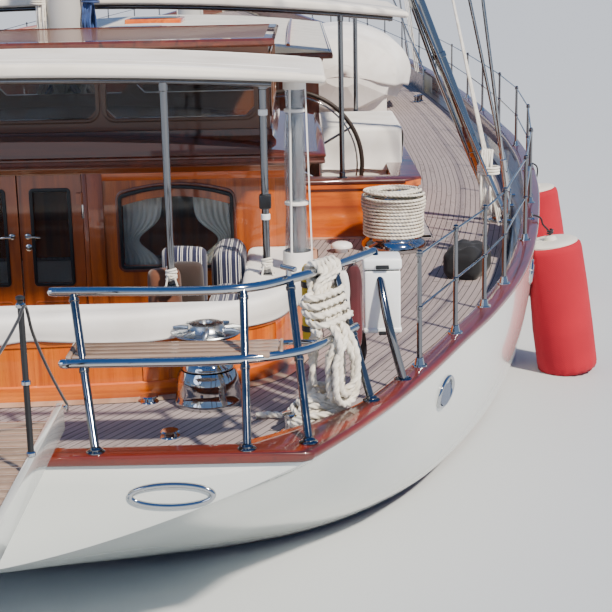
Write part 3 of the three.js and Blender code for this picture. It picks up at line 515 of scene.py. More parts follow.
# tones of each wood, from pale to dark
orangeTeak = ("#f0800c", "#d65c00", "#9c3a00")
mahogany = ("#702a10", "#531c0b", "#331006")
bareTeak = ("#b39a85", "#9d8370", "#75604f")

# white enamel with a faint green tint that is a painted reflection of the water
hullWhite = glossPaint("polyurethaneEnamelWhiteReflectionTint", "#dfe2dc", "#cfd5cf")
bootBrown = glossPaint("antifoulingBrown", "#5a2a26", "#4b211e", 0.6, 0.0)
# flat navy discs that stand in for the hawse openings: painted shade where a hole would look dark
hawsePaintedShade = glossPaint("hawseOpeningPaintedShadeNavy", "#1d3557", "#14263f", 0.2)
sparGrey = glossPaint("sparEnamelGrey", "#c9c8c3", "#b5b4af", 0.3, 0.3)
taupe = glossPaint("stainedMahoganyFrame", "#76492f", "#633b25", 0.3, 0.3)
taupeDark = glossPaint("lacqueredBronzeDark", "#6a4a34", "#593c2a", 0.3, 0.3)
teakDeck = deckTeak("scrubbedTeakPlanks", "#b5aaa8", "#9a8e8c", "#655a57")
palePlank = varnishedWood("bareTeakMargin", ("#cfc0ab", "#bfae98", "#93806b"), "X", 60)
seatTeak = varnishedWood("weatheredTeakSeat", bareTeak, "Y", 30)
seatTeakX = varnishedWood("weatheredTeakSeatEnds", bareTeak, "X", 30)
orangeX = varnishedWood("varnishedTeakLengthwise", orangeTeak, "X")
orangeY = varnishedWood("varnishedTeakAcross", orangeTeak, "Y")
orangeStile = varnishedWood("varnishedTeakStiles", ("#bd5c16", "#9a470e", "#6e2d08"), "Z", 36)
orangeWall = varnishedWood("varnishedTeakWallStaves", ("#cf6c1a", "#ad5010", "#78340a"), "Z", 40, 62)
orangeCove = varnishedWood("varnishedCove", ("#a4521a", "#853f13", "#5d280c"), "Y", 36)
orangeStaves = varnishedWood("varnishedTeakStaves", ("#f2860c", "#d96200", "#a03e00"), "Y", 40, 62, "UV", 0)
orangeRail = varnishedWood("varnishedTeakRails", ("#f2860c", "#d65c00", "#9c3a00"), "X", 40, 0, "UV")
brownX = varnishedWood("varnishedMahoganyLengthwise", mahogany, "X")
brownY = varnishedWood("varnishedMahoganyAcross", mahogany, "Y")
brownZ = varnishedWood("varnishedMahoganyUpright", ("#8a4220", "#6c2d14", "#421a0b"), "Z")
capWood = varnishedWood("varnishedRailCap", ("#842400", "#5e1700", "#300900"), "X", 30, 0, "UV")
bulwarkWood = varnishedWood("varnishedBulwarkLining", ("#84401a", "#64290f", "#3c1808"), "X", 40)
chrome = polishedMetal("chromedBronze", "#b9bbbd", 0.07)
# a darker copy of the rails' polished steel for posts and stanchions: the extra darkness is a painted reflection
# of dark water
postSteelPaintedDark = polishedMetal("polishedSteelPostsPaintedDark", "#7b7d80", 0.1)
# stainless steel whose colour is set darker than polished metal as a painted reflection of dark water
stainless = polishedMetal("polishedStainlessPaintedDark", "#9fa1a2", 0.08)
brushed = polishedMetal("brushedStainless", "#b4b8ba", 0.28, 0.15)
bronze = polishedMetal("castBronze", "#a8813f", 0.3, 0.2)
creamCanvas = wovenCloth("acrylicCanvasCream", "#f3eee3", "#e0d9cb")
whiteCanvas = wovenCloth("coatedCanvasWhite", "#f5f3ee", "#e0dcd3", 1.4)
blackCanvas = wovenCloth("coatedCanvasBlack", "#15171b", "#0c0d10", 1.6, 0.1)
sailCloth = wovenCloth("wovenSailcloth", "#e9e6dd", "#cfcabd", 1.2, 0.15)
curtainCloth = wovenCloth("linenCurtain", "#fbf7ea", "#e6dfcd", 1.4)
burgundy = wovenCloth("acrylicClothBurgundy", "#5c1a22", "#3c0f16")
darkCloth = wovenCloth("acrylicClothBrown", "#33221a", "#211510")
tanCloth = wovenCloth("acrylicClothTan", "#6e3f26", "#43271a")
orangeCloth = wovenCloth("acrylicClothOrange", "#c8641f", "#9c4813")
fenderRed = wovenCloth("knittedFenderSock", "#b00424", "#9c0320", 2.4, 0.04, 0.5, 300)
stripeSide, stripeAft = [stripedCloth(name, "#e9e6df", [(low, high, "#1b1f3d") for low, high in
                                                        ((0.0, 0.46), (0.53, 0.62), (0.69, 0.93))], 34, "Y")
                         for name in ("wovenStripeNavy", "wovenStripeNavyAft")]
rope = ropeFibre("laidPolyesterRope", "#efeadd", "#c6bda9")
thinLine = ropeFibre("braidedPolyesterLine", "#ebe7dd", "#c4bdac")
blueRope = ropeFibre("braidedLineBlue", "#38558f", "#22365f")
greyRope = ropeFibre("braidedLineGrey", "#77797d", "#4a4c50")
blackLine = ropeFibre("braidedLineBlack", "#1c1d20", "#0c0d0e")
blackPlastic = plainMoulded("mouldedBlackNylon", "#17181a", "#202124", 0.35)
blackRubber = plainMoulded("blackNeoprene", "#131313", "#1e1e1e", 0.6)
whitePlastic = plainMoulded("rotomouldedPolyethylene", "#f6f8f8", "#e9ecec", 0.38, Subsurface_Weight=0.05)
yellowPlastic = plainMoulded("yellowSafetyFoam", "#d9b411", "#b48f0b", 0.5)
roofWhite = plainMoulded("nonSlipDeckPaint", "#dcd9cf", "#c9c6bb", 0.6, 2.5, 0.5)
leather = plainMoulded("stitchedWheelLeather", "#2a1c14", "#1c120d", 0.55, 5, 0.3)
glass = clearSheet("toughenedGlass", "#9fb0b0", 0.02, 0.12)
clearGlass = clearSheet("clearHouseGlass", "#8f9a9a", 0.02, 0.16)
darkGlass = clearSheet("tintedGlass", "#1c2324", 0.03, 0.9)
vinyl = clearSheet("clearWindowVinyl", "#dfe8f0", 0.06, 0.24)
print("materials made")


# floor at the waterline and soft light
def makeStage(reach=120):
    mesh = bpy.data.meshes.new("quayFloor")
    mesh.from_pydata([(-reach, -reach, 0), (reach, -reach, 0), (reach, reach, 0), (-reach, reach, 0)], [],
                     [(0, 1, 2, 3)])
    mesh.materials.append(newMaterial("paleStudioFloor", "#c3c8ca", Roughness=0.55)[0])
    newObject("quayFloor", mesh)
    world = bpy.data.worlds.new("studioSky")
    bpy.context.scene.world = world
    world.use_nodes = True
    tree = world.node_tree
    tree.nodes.clear()
    parts = addNode(tree, "ShaderNodeSeparateXYZ", {0: pointOn(tree, "Generated")})
    sky = blendColours(tree, steep(tree, parts.outputs[2], -0.05, 0.7), "#a6bfde", "#3f78c4")
    light = addNode(tree, "ShaderNodeBackground", {"Color": sky, "Strength": 0.85})
    addNode(tree, "ShaderNodeOutputWorld", {"Surface": light})
    for name, aim, power, spread, tint in (("keyLight", (-0.74, -0.62, 1.0), 7.4, 3, "#fff3e2"),
                                           ("fillLight", (-0.9, 0.7, 0.5), 0.6, 30, "#e6eeff")):
        lamp = bpy.data.lights.new(name, "SUN")
        lamp.energy, lamp.angle, lamp.color = power, math.radians(spread), colour(tint)[:3]
        newObject(name, lamp).rotation_euler = Vector(aim).to_track_quat("Z", "Y").to_euler()


makeStage()
print("stage made")


# free ropes; a path is a list of points in full-size millimetres
strandRow = {"centre": 0.536, "third": 2.0944, "round": 0.2153, "dip": 0.2872, "hollow": 0.33}


def pathLength(path):
    return sum((Vector(b) - Vector(a)).length for a, b in zip(path, path[1:]))


def ropeMesh(path, diameter, lay=3.6, around=18, step=0.33):
    # three strands laid up together: one lobed section, turned as it runs along the path
    length = pathLength(path)
    line = smoothPath(path, max(int(length / (diameter * step)), 8))
    row, profile = strandRow, []
    for k in range(around):
        share = (k / around * 3) % 1 - 0.5
        lobe = math.sqrt(max(row["round"] - row["dip"] * math.sin(share * row["third"]) ** 2, 0))
        profile.append(max(0.5 * (row["centre"] * math.cos(share * row["third"]) + lobe), row["hollow"]))
    side, rings, run = (line[1] - line[0]).orthogonal().normalized(), [], 0.0
    for i, p in enumerate(line):
        along = (line[min(i + 1, len(line) - 1)] - line[max(i - 1, 0)]).normalized()
        side = (side - along * side.dot(along)).normalized()
        up = along.cross(side)
        if i:
            run += (p - line[i - 1]).length
        turn = 2 * math.pi * run / (diameter * lay)
        rings.append([p + diameter * r * (side * math.cos(turn + 2 * math.pi * k / around)
                                          + up * math.sin(turn + 2 * math.pi * k / around))
                      for k, r in enumerate(profile)])
    return loft(rings), line, length


def makeRope(name, path, diameter, material, laid=True, body="root",
             replaces=()):
    if laid:
        fine = diameter > 35      # the thinner ropes lie further off and carry fewer faces
        made, line, length = ropeMesh(path, diameter, around=18 if fine else 12, step=0.33 if fine else 0.4)
    else:
        length = pathLength(path)
        line = smoothPath(path, max(int(length / (diameter * 1.2)), 6))
        made = tube(line, diameter / 2, 10)
    piece = makePiece(name, [made], material, body, replaces, 80)
    return piece


warpRow = {"at": (919, -2269), "turn": -38.9, "rail": 2140, "railRadius": 27, "diameter": 43, "lift": 330,
           "slide": (56, -84), "swing": -244, "lows": [1450, 1400, 1436, 1392, 1474],
           "folds": [78, 104, 86, 110, 92], "aims": [8, -14, 22, 2, -24]}


def warpPoint(u, w, z):
    # u along the rail, w inboard of it; lower down the strands swing out over the middle rail
    share = min(max((warpRow["rail"] - 20 - z) / warpRow["lift"], 0), 1)
    a, b = warpRow["slide"]
    u, w = u + a + (b - a) * share, w + warpRow["swing"] * share ** 2
    a = math.radians(warpRow["turn"])
    x, y = warpRow["at"]
    return (x + u * math.cos(a) - w * math.sin(a), y + u * math.sin(a) + w * math.cos(a), z)


def makeWarp():
    # a hank slung over the top rail: loops hang below it and the end is wound round their neck
    row, points, d = warpRow, [], warpRow["diameter"]
    reach = row["railRadius"] + d / 2 + 3
    top, count = row["rail"], len(row["lows"])
    halfTurn = [math.radians(a) for a in range(0, 181, 30)]
    for i in range(count):
        u = (i - (count - 1) / 2) * d * 1.02
        neck, r, low, aim = u * 0.86, row["folds"][i], row["lows"][i], math.radians(row["aims"][i])
        c, s = math.cos(aim), math.sin(aim)
        deep = 30 * ((i % 3) - 1)
        points += [(u, -reach * math.cos(t), top + reach * math.sin(t)) for t in halfTurn]
        points += [(neck, 24, z) for z in (2060, 2000, 1930)]
        points += [(neck * 0.7 + 0.3 * r * c, 10 + 0.3 * r * s + deep, 1800)]
        points += [(r * c, deep + r * s, low + share * r) for share in (2.4, 1.6)]
        points += [(r * c * math.cos(t), deep + r * s * math.cos(t), low + r * (1 - math.sin(t)))
                   for t in halfTurn]
        points += [(-r * c, deep - r * s, low + share * r) for share in (1.6, 2.4)]
        points += [(neck * 0.7 - 0.3 * r * c, -10 - 0.3 * r * s + deep, 1800)]
        points += [(neck, -24, z) for z in ((1930, 2000, 2060) if i < count - 1 else (1930, 2000))]
    for k in range(6, 55):
        t = 2 * math.pi * k / 12
        c, s = math.cos(t), math.sin(t)
        points.append((152 * math.copysign(abs(c) ** 0.6, c), 74 * math.copysign(abs(s) ** 0.6, s),
                       2026 + 16 * c - d * 1.03 * (k - 6) / 12))
    points += [(-120, 96, 1810), (-112, 138, 1740), (-90, 160, 1640), (-80, 150, 1500)]
    makeRope("warpHank", [warpPoint(*p) for p in points], d, rope, replaces=("warp_hank",))


def makeHeap():
    # the rest of the warp, dropped on deck in slack turns at the foot of the rail
    random.seed(4)
    d = warpRow["diameter"]
    base = deckZ + d / 2 + 3
    points = [(880, -2262, 1860), (858, -2262, 1790), (820, -2240, 1600), (770, -2190, 1400),
              (700, -2130, 1290), (640, -2140, base + 12)]
    for k in range(92):
        t = 2.6 + 2 * math.pi * k / 13
        layer = int(k / 13)
        r = 186 + 26 * math.sin(k * 0.55) - 12 * layer + random.uniform(-5, 5)
        lift = base + layer * 0.78 * d + (9 * math.sin(k * 1.1) + 8 if layer else 0)
        points.append((776 + 8 * layer + r * 0.95 * math.cos(t), -2272 - 4 * layer + r * 1.02 * math.sin(t),
                       lift))
    points += [(960, -2060, base + 20), (1010, -1960, base + 2), (1000, -1880, base)]
    makeRope("warpHeap", points, d, rope)


def hangingCoil(name, pin, size, turns, diameter, material, aim=(1, 0), laid=False, body="root"):
    # a halyard coil: long ovals hung on a pin, closed by a few turns round the neck
    random.seed(name)
    u, w = Vector((aim[0], aim[1], 0)).normalized(), Vector((-aim[1], aim[0], 0)).normalized()
    wide, tall = size
    points, pin = [], Vector(pin)
    for i in range(turns):
        shift = (turns / 2 - i) * diameter * 0.9
        drop, spread = tall * random.uniform(0.93, 1.06), wide * random.uniform(0.85, 1.1) / 2
        for k in range(14):
            t = math.pi / 2 + 2 * math.pi * k / 14
            broad = spread * (0.62 if math.sin(t) > 0.2 else 1)
            lean = diameter * 0.8 * math.sin(2 * t + i)
            points.append(pin + u * (broad * math.cos(t) + lean) + w * (shift + diameter * k / 14)
                          + upBy(drop / 2 * (math.sin(t) - 1)))
    neck = pin - upBy(tall * 0.24)
    a, b = wide * 0.36 + diameter, turns * diameter * 0.5 + diameter * 1.4
    for k in range(31):
        t = math.pi / 2 + 2 * math.pi * k / 10
        points.append(neck + u * (a * math.cos(t)) + w * (b * math.sin(t)) - upBy(diameter * 1.05 * k / 10))
    points.append(neck + u * (a * 1.1) + w * (b * 0.6) - upBy(tall * 0.35))
    return makeRope(name, points, diameter, material, laid=laid, body=body)


halyardRow = {"mast": 6300, "ring": 246, "turns": 5, "diameter": 20}


def makeHalyards():
    # coils hung round the mizzen mast, above the house roof
    row = halyardRow
    for name, aim, z, size, stuff in (
            ("halyardPort", 138, 3020, (330, 560), thinLine),
            ("halyardBlue", 172, 3020, (300, 520), blueRope),
            ("halyardGrey", 206, 3020, (280, 600), greyRope),
            ("halyardStarboard", 242, 3020, (320, 560), thinLine),
            ("halyardHighPort", 98, 3760, (250, 620), thinLine),
            ("halyardHighBlue", 262, 3760, (250, 620), blueRope)):
        c, s = math.cos(math.radians(aim)), math.sin(math.radians(aim))
        hangingCoil(name, (row["mast"] + row["ring"] * c, row["ring"] * s, z), size, row["turns"],
                    row["diameter"], stuff, aim=(-s, c))


makeWarp()
makeHeap()
makeHalyards()
print("ropes made")


# the hull: rows of distance, half-breadth, rail over deck, deck, underside and two section exponents
hullLength = 43000
hullRows = {
    "columns": ("x", "breadth", "rail", "deck", "bottom", "p", "q"),
    "rows": [
        (0, 2200, 100, 1200, 650, 1.0, 1.6), (340, 2420, 110, 1200, 500, 1.2, 1.8),
        (790, 2670, 120, 1200, 330, 1.5, 2.2), (1350, 2950, 140, 1200, 120, 1.9, 2.9),
        (2040, 3250, 160, 1200, -120, 2.4, 3.8), (2740, 3550, 175, 1200, -300, 2.5, 4.2),
        (3730, 3890, 190, 1200, -500, 2.5, 4.4), (4650, 4130, 205, 1200, -720, 2.4, 4.6),
        (6350, 4460, 230, 1200, -1080, 2.3, 4.6), (8000, 4720, 250, 1200, -1270, 2.2, 4.0),
        (10000, 4930, 275, 1200, -1430, 2.2, 3.5), (12000, 5020, 290, 1200, -1540, 2.1, 3.2),
        (16000, 5040, 300, 1200, -1680, 2.0, 3.0), (20000, 4900, 305, 1247, -1720, 2.0, 2.8),
        (24000, 4530, 315, 1343, -1680, 1.9, 2.5), (28000, 3950, 330, 1473, -1540, 1.8, 2.2),
        (32000, 3120, 345, 1633, -1270, 1.7, 2.0), (36000, 2080, 365, 1819, -830, 1.6, 1.8),
        (39000, 1250, 385, 1974, -250, 1.5, 1.7), (41200, 640, 400, 2095, 480, 1.5, 1.7),
        (42400, 260, 410, 2165, 1350, 1.4, 1.6), (43000, 60, 420, 2200, 2150, 1.4, 1.6)],
    "bulwark": 110, "capThick": 60, "capOut": 40, "capIn": 20, "sternCap": 110}


def fair(x, column):
    # a smooth curve through a column that never overshoots its rows
    c = hullRows["columns"].index(column)
    xs, values = [r[0] for r in hullRows["rows"]], [r[c] for r in hullRows["rows"]]
    x = min(max(x, 0), hullLength)
    rise = [(values[i + 1] - values[i]) / (xs[i + 1] - xs[i]) for i in range(len(xs) - 1)]
    i = min(max(next((k for k, v in enumerate(xs) if v > x), len(xs)) - 1, 0), len(xs) - 2)

    def slope(k):
        if k in (0, len(xs) - 1):
            return rise[min(k, len(rise) - 1)]
        a, b = rise[k - 1], rise[k]
        return 0 if a * b <= 0 else 2 * a * b / (a + b)

    span = xs[i + 1] - xs[i]
    t = (x - xs[i]) / span
    return (values[i] * (1 + 2 * t) * (1 - t) ** 2 + values[i + 1] * t * t * (3 - 2 * t)
            + span * t * (1 - t) * (slope(i) * (1 - t) - slope(i + 1) * t))


def breadth(x):
    return fair(x, "breadth")


def railZ(x):
    return fair(x, "deck") + fair(x, "rail")


def capTop(x):
    return railZ(x) + hullRows["capThick"]


def insideY(x):
    # the inner face of the bulwark, which thickens towards the stern
    return breadth(x) - hullRows["bulwark"] - 350 * max(0, 1 - (x - hullRows["sternCap"] - 20) / 800) ** 2


def lengthwise(start, end, fine=150, coarse=450, change=12000):
    xs = [start]
    while xs[-1] < end - 1:
        xs.append(min(xs[-1] + (fine if xs[-1] < change else coarse), end))
    return xs


def section(x, steps, grow=0.0, shrink=1.0):
    top, low, b = railZ(x), fair(x, "bottom") - grow, breadth(x) + grow
    half = []
    for i in range(steps + 1):
        a = math.pi / 2 * i / steps
        y = 0 if i == steps else b * math.cos(a) ** (2 / fair(x, "q"))
        half.append((y * shrink, top - (top - low) * math.sin(a) ** (2 / fair(x, "p"))))
    return half


def strip(first, second, low, high):
    # a flat board between two edges given as (x, y) lists; low and high are heights or functions of x
    def level(h, x):
        return h(x) if callable(h) else h
    return loft([[(a[0], a[1], level(low, a[0])), (b[0], b[1], level(low, b[0])),
                  (b[0], b[1], level(high, b[0])), (a[0], a[1], level(high, a[0]))]
                 for a, b in zip(first, second)])


def makeHull():
    rings = []
    for x in lengthwise(-3, hullLength + 3):
        half, back = section(x, 34, 4), section(x, 34, -9)
        outer = half + [(-y, z) for y, z in half[-2::-1]]
        hidden = [(-y * 0.985, z) for y, z in back] + [(y * 0.985, z) for y, z in back[-2::-1]]
        rings.append([(x, y, z) for y, z in outer + hidden])
    half = section(0, 34, 4)
    face = half + [(-y, z) for y, z in half[-2::-1]]
    middleZ, stern = 1010, []
    for out, share in ((-2, 1.0), (-8, 1.0), (-13, 0.994), (-15, 0.985), (-15, 0.6), (-15, 0.02)):
        stern.append([(out, y * share, middleZ + (z - middleZ) * share) for y, z in face])
    makePiece("hull_skin", [loft(rings), loft(stern)], hullWhite, sharp=50)
    paint(hull_aft=roofWhite, hull_middle=roofWhite, hull_forward=roofWhite)


makeHull()


def makeCapRail():
    # one long moulding: starboard bow, stern corner, across the transom, port side to the bow
    out, deep, stern = hullRows["capOut"], hullRows["capIn"], hullRows["sternCap"]
    pairs = []
    for x in reversed(lengthwise(stern, hullLength)):
        b = breadth(x)
        pairs.append(((x, -(b + out)), (x, -(0 if x > 42000 else max(insideY(x) - deep, 4)))))
    b = insideY(stern) - deep
    for i in range(1, 8):
        x = stern + (-out - stern) * i / 8
        pairs.append(((x, -(breadth(x) + out - 30 * (i / 8) ** 6)), (stern, -(b - 45 * i))))
    edge = breadth(0) + out - 60
    for i in range(25):
        y = -edge + 2 * edge * i / 24
        pairs.append(((-out, y), (stern, y * (b - 360) / edge)))
    half = pairs[:len(pairs) - 25]
    pairs += [((a[0], -a[1]), (c[0], -c[1])) for a, c in reversed(half)]
    rings, uv, run = [], [], 0.0
    for k, (a, c) in enumerate(pairs):
        if k:
            run += math.dist(a, pairs[k - 1][0]) * modelScale
        wide = max(math.dist(a, c), 1)
        profile = [(28 - 28 * math.cos(t), 30 + 28 * math.sin(t)) for t in
                   (math.radians(d) for d in range(-90, 91, 20))]
        profile += [(wide * 0.35 + 10, 63), (wide * 0.7, 62), (wide - 12, 59), (wide - 2, 52), (wide, 40),
                    (wide, 8), (wide - 6, 2)]
        ring = []
        for inset, rise in profile:
            s = min(inset / wide, 1)
            x, y = a[0] + (c[0] - a[0]) * s, a[1] + (c[1] - a[1]) * s
            ring.append((x, y, railZ(x) + rise))
            uv.append((run, inset * modelScale))
        rings.append(ring)
    makePiece("cap_rail_moulding", [loft(rings)], capWood, replaces=("cap_rail",), uv=uv,
              sharp=50)
    # the bulwark's inner face, along both sides and across the stern
    side = [(x, insideY(x) + 2) for x in lengthwise(132, 41500, 150, 600)]
    parts = both(strip(side, [(x, y - 10) for x, y in side], lambda x: fair(x, "deck") + 2,
                       lambda x: railZ(x) - 2))
    parts.append(block((129, -insideY(130), deckZ + 2), (140, insideY(130), railZ(130) - 2), 2))
    makePiece("bulwark_lining", parts, bulwarkWood)


deckRows = {"holes": [(1800, 3490, 1760), (3490, 5900, 2000), (6870, 9690, 3100), (9780, 16920, 2300)],
            "ends": (134, 42000)}


def makeDeck():
    cuts = sorted({x for row in deckRows["holes"] for x in row[:2]} | set(deckRows["ends"]))
    parts, across, along = [], [], []
    for x0, x1 in zip(cuts, cuts[1:]):
        hole = next((row[2] for row in deckRows["holes"] if row[0] <= x0 < row[1]), 0)
        xs = lengthwise(x0, x1, 120, 400)
        for side in (1, -1):
            rings = []
            for x in xs:
                edge = max(insideY(x) - 4, hole + 4)
                slope = math.atan((breadth(x + 60) - breadth(x - 60)) / 120)
                ring = [(x, side * (hole + (edge - hole) * k / 8), fair(x, "deck") + 1) for k in range(9)]
                ring += [(x, side * y, fair(x, "deck") - 22) for y in (edge, hole)]
                for p in ring:
                    across.append((breadth(x) - 110 - abs(p[1])) * math.cos(slope) * modelScale + 40)
                    along.append(x * modelScale)
                rings.append(ring)
            parts.append(loft(rings))
    makePiece("deck_planking", parts, teakDeck, replaces=("teak_deck",),
              values={"across": across, "along": along}, sharp=30)


def makeMargins():
    # pale boards that frame the planking, with a black seam on their inner side
    pale, seams = [], []

    def lay(first, second, deck=lambda x: fair(x, "deck")):
        pale.append(strip(first, second, lambda x: deck(x) - 4, lambda x: deck(x) + 4))
        inner = []
        for a, b in zip(first, second):
            d = Vector((b[0] - a[0], b[1] - a[1])).normalized() * 9
            inner.append((b[0] + d.x, b[1] + d.y))
        seams.append(strip(second, inner, lambda x: deck(x) - 4, lambda x: deck(x) + 2.5))

    for side in (1, -1):
        xs = lengthwise(200, 41400, 150, 600)
        lay([(x, side * (insideY(x) - 8)) for x in xs], [(x, side * (insideY(x) - 120)) for x in xs])
        for x0, x1, edge, wide in ((3500, 6040, 2206, 110), (6470, 9690, 3356, 110), (9700, 17000, 2406, 120)):
            ys = (side * edge, side * (edge + wide))
            lay([(x0, ys[0]), (x1, ys[0])], [(x0, ys[1]), (x1, ys[1])])
    lay(coamingPath(3), coamingPath(112))
    lay([(141, -1760), (141, 1760)], [(215, -1780), (215, 1780)])
    lay([(6612, -3460), (6612, 3460)], [(6500, -3460), (6500, 3460)])
    lay([(6004, 2300), (6004, -2300)], [(6110, 2300), (6110, -2300)])
    makePiece("deck_margins", pale, palePlank)
    makePiece("deck_margin_seams", seams, blackRubber)


coamingRow = {"half": [(1430, 0), (1470, 750), (1540, 1280), (1770, 1790), (1940, 1970), (2320, 2100),
                       (2620, 2190), (3490, 2200)], "end": 3490, "well": (1800, 1760), "top": 1700, "steps": 90}


def coamingPath(out=0.0):
    # the plan of the aft coaming from starboard round to port, set out by a distance
    half = coamingRow["half"]
    line = [(x, -y, 0) for x, y in reversed(half) if y] + [(x, y, 0) for x, y in half]
    points = smoothPath(line, coamingRow["steps"])
    course, last = [], len(points) - 1
    for i, p in enumerate(points):
        t = (points[min(i + 1, last)] - points[max(i - 1, 0)]).normalized()
        x = min(p.x - t.y * out, coamingRow["end"]) if 0 < i < last else p.x
        course.append((x, p.y + t.x * out))
    return course


def innerPath():
    # the cockpit side of the coaming, matched point for point with its plan
    (x, y), end = coamingRow["well"], coamingRow["end"]
    line = [(end, -y), (x, -y), (x, y), (end, y)]
    marks = np.cumsum([0] + [math.dist(line[i], line[i + 1]) for i in range(3)])
    run = np.linspace(0, marks[-1], coamingRow["steps"] + 1)
    return [tuple(np.interp(r, marks, [p[k] for p in line]) for k in range(2)) for r in run]


def sweepCoaming(profile, first=0, last=None):
    # profile rows are distance out of the plan and height
    rows = [coamingPath(out) for out, z in profile]
    rings, uv, run = [], [], 0.0
    last = last or coamingRow["steps"]
    for i in range(first, last + 1):
        if i > first:
            run += math.dist(rows[0][i], rows[0][i - 1]) * modelScale
        rings.append([(*row[i], z) for row, (out, z) in zip(rows, profile)])
        uv += [(run, z * modelScale) for out, z in profile]
    return loft(rings), uv


def makeCoaming():
    top = coamingRow["top"]
    panel = [(0, 1202), (0, top - 4), (-30, top - 4), (-30, 1202)]
    made, uv = sweepCoaming(panel)
    makePiece("coaming_staves", [made], orangeStaves, replaces=("aft_coaming",), uv=uv)
    parts, uvs = [], []
    for low, high in ((1200, 1305), (1560, top)):
        made, uv = sweepCoaming([(-2, low), (10, low), (13, low + 4), (13, high - 10), (5, high), (-2, high)])
        parts.append(made)
        uvs += uv
    makePiece("coaming_rails", parts, orangeRail, uv=uvs)
    stiles, uvs = [], []
    for centre in (6, 18, 30, 45, 60, 72, 84):
        made, uv = sweepCoaming([(-2, 1304), (9, 1304), (12, 1308), (12, 1556), (9, 1561), (-2, 1561)],
                                centre - 1, centre + 1)
        stiles.append(made)
        uvs += [(v, u) for u, v in uv]
    makePiece("coaming_stiles", stiles, orangeRail, uv=uvs)
    # the cockpit side and the top under the cover
    makePiece("coaming_lining", [strip(coamingPath(-26), innerPath(), 1202, top - 2)], orangeX)


def wrinkle(seed, size):
    random.seed(seed)
    waves = [(random.uniform(0.6, 1.6), random.uniform(0, 6.28), random.uniform(0.4, 1)) for _ in range(7)]

    def height(s):
        return sum(g * math.sin(s * f * 6.28 / size + p) for f, p, g in waves) / 3
    return height


coverRow = {"seed": 11, "drop": 118, "thick": 1.6}


def makeCoamingCover():
    # a canvas cover laid over the coaming, hanging in shallow waves on the outside
    top = coamingRow["top"]
    hang, puff, sag = wrinkle(coverRow["seed"], 900), wrinkle(5, 330), wrinkle(8, 500)
    outer, inner = coamingPath(), innerPath()
    out1, out2 = coamingPath(26), coamingPath(34)
    rings, length = [], 0.0
    for i in range(coamingRow["steps"] + 1):
        if i:
            length += math.dist(outer[i], outer[i - 1])
        s = length
        inset = Vector((inner[i][0] - outer[i][0], inner[i][1] - outer[i][1]))
        inward = inset.normalized()
        middle = Vector(outer[i]) + inset * 0.5
        inside = Vector(inner[i]) + inward * 9
        fold = 5 * puff(s)
        low = top - coverRow["drop"] + 16 * hang(s)
        row = [(*inside, top - 62 + 6 * hang(s + 400)), (*(inside + inward * 2), top - 20),
               (*(Vector(inner[i]) - inward * 14), top + 50), (*(Vector(inner[i]) - inward * 70), top + 61),
               (*middle, top + 60 - 7 * abs(sag(s))),
               (*(Vector(outer[i]) + inward * 40), top + 62 + 3 * puff(s + 90)),
               (*Vector(out1[i]), top + 44 + fold * 0.4), (*Vector(out2[i]), top + 5),
               (*(Vector(out2[i]) - inward * fold), top - 45),
               (*(Vector(out1[i]) - inward * fold * 1.5), low + 26),
               (*(Vector(out1[i]) - inward * fold * 2), low)]
        rings.append(smoothPath(row, 22))
    points = [p for r in rings for p in r]
    return makeSheet("coaming_cover_canvas", (points, gridFaces(len(rings) - 1, 22)), whiteCanvas,
                     coverRow["thick"])


def makeSheet(name, made, material, thick, body="root", replaces=(), levels=1):
    # cloth: its midline mesh, given a wall and smoothed; thick is in millimetres of the model
    points, faces = made
    mesh = bpy.data.meshes.new(name)
    mesh.from_pydata([spot(*p) for p in points], [], faces)
    mesh.shade_smooth()
    piece = newObject(name, mesh)
    if levels:
        soft = piece.modifiers.new("soft", "SUBSURF")
        soft.levels = soft.render_levels = levels
    wall = piece.modifiers.new("wall", "SOLIDIFY")
    wall.thickness, wall.offset = thick / 1000, 0
    return bakeModifiers(piece, name, material, body, replaces)


def evaluatedMesh(piece):
    return bpy.data.meshes.new_from_object(piece.evaluated_get(bpy.context.evaluated_depsgraph_get()))


def bakeModifiers(piece, name, material, body="root", replaces=(), sharp=None):
    # turns the evaluated object into a plain mesh piece and drops the source
    bpy.context.view_layer.update()
    mesh = evaluatedMesh(piece)
    bpy.data.objects.remove(piece)
    mesh.name = name
    tidyMesh(mesh, sharp)
    return placePiece(name, mesh, material, body, replaces)


makeCapRail()
makeDeck()
makeMargins()
makeCoaming()
makeCoamingCover()
print("hull, deck and coaming made")


# rails at the stern
pushpitRows = {
    "posts": [((30, 1046), (526, 892)), ((30, 1866), (515, 1850)), ((110, 2200), (722, 2110)),
              ((780, 2575), (1043, 2369))],
    "rails": [(2140, [(526, 776), (511, 1840), (722, 2110), (1043, 2369), (1436, 2628)]),
              (1790, [(277, 856), (297, 1857), (440, 2170), (601, 2299), (935, 2490)])],
    "leg": [(1436, 2628, 2140), (1330, 2655, 2020), (1180, 2700, 1760), (1160, 2790, 1392)],
    "seat": [(592, 850, 1782), (600, 1500, 1782), (600, 1930, 1782), (640, 2110, 1786), (601, 2299, 1790)],
    "post": 24, "rail": 27}


def collar(centre, radius, height=14, axis=(0, 0, 1)):
    return turned([(radius, 0), (radius, height * 0.4), (radius * 0.8, height * 0.8), (radius * 0.5, height)],
                  centre, 20, axis)


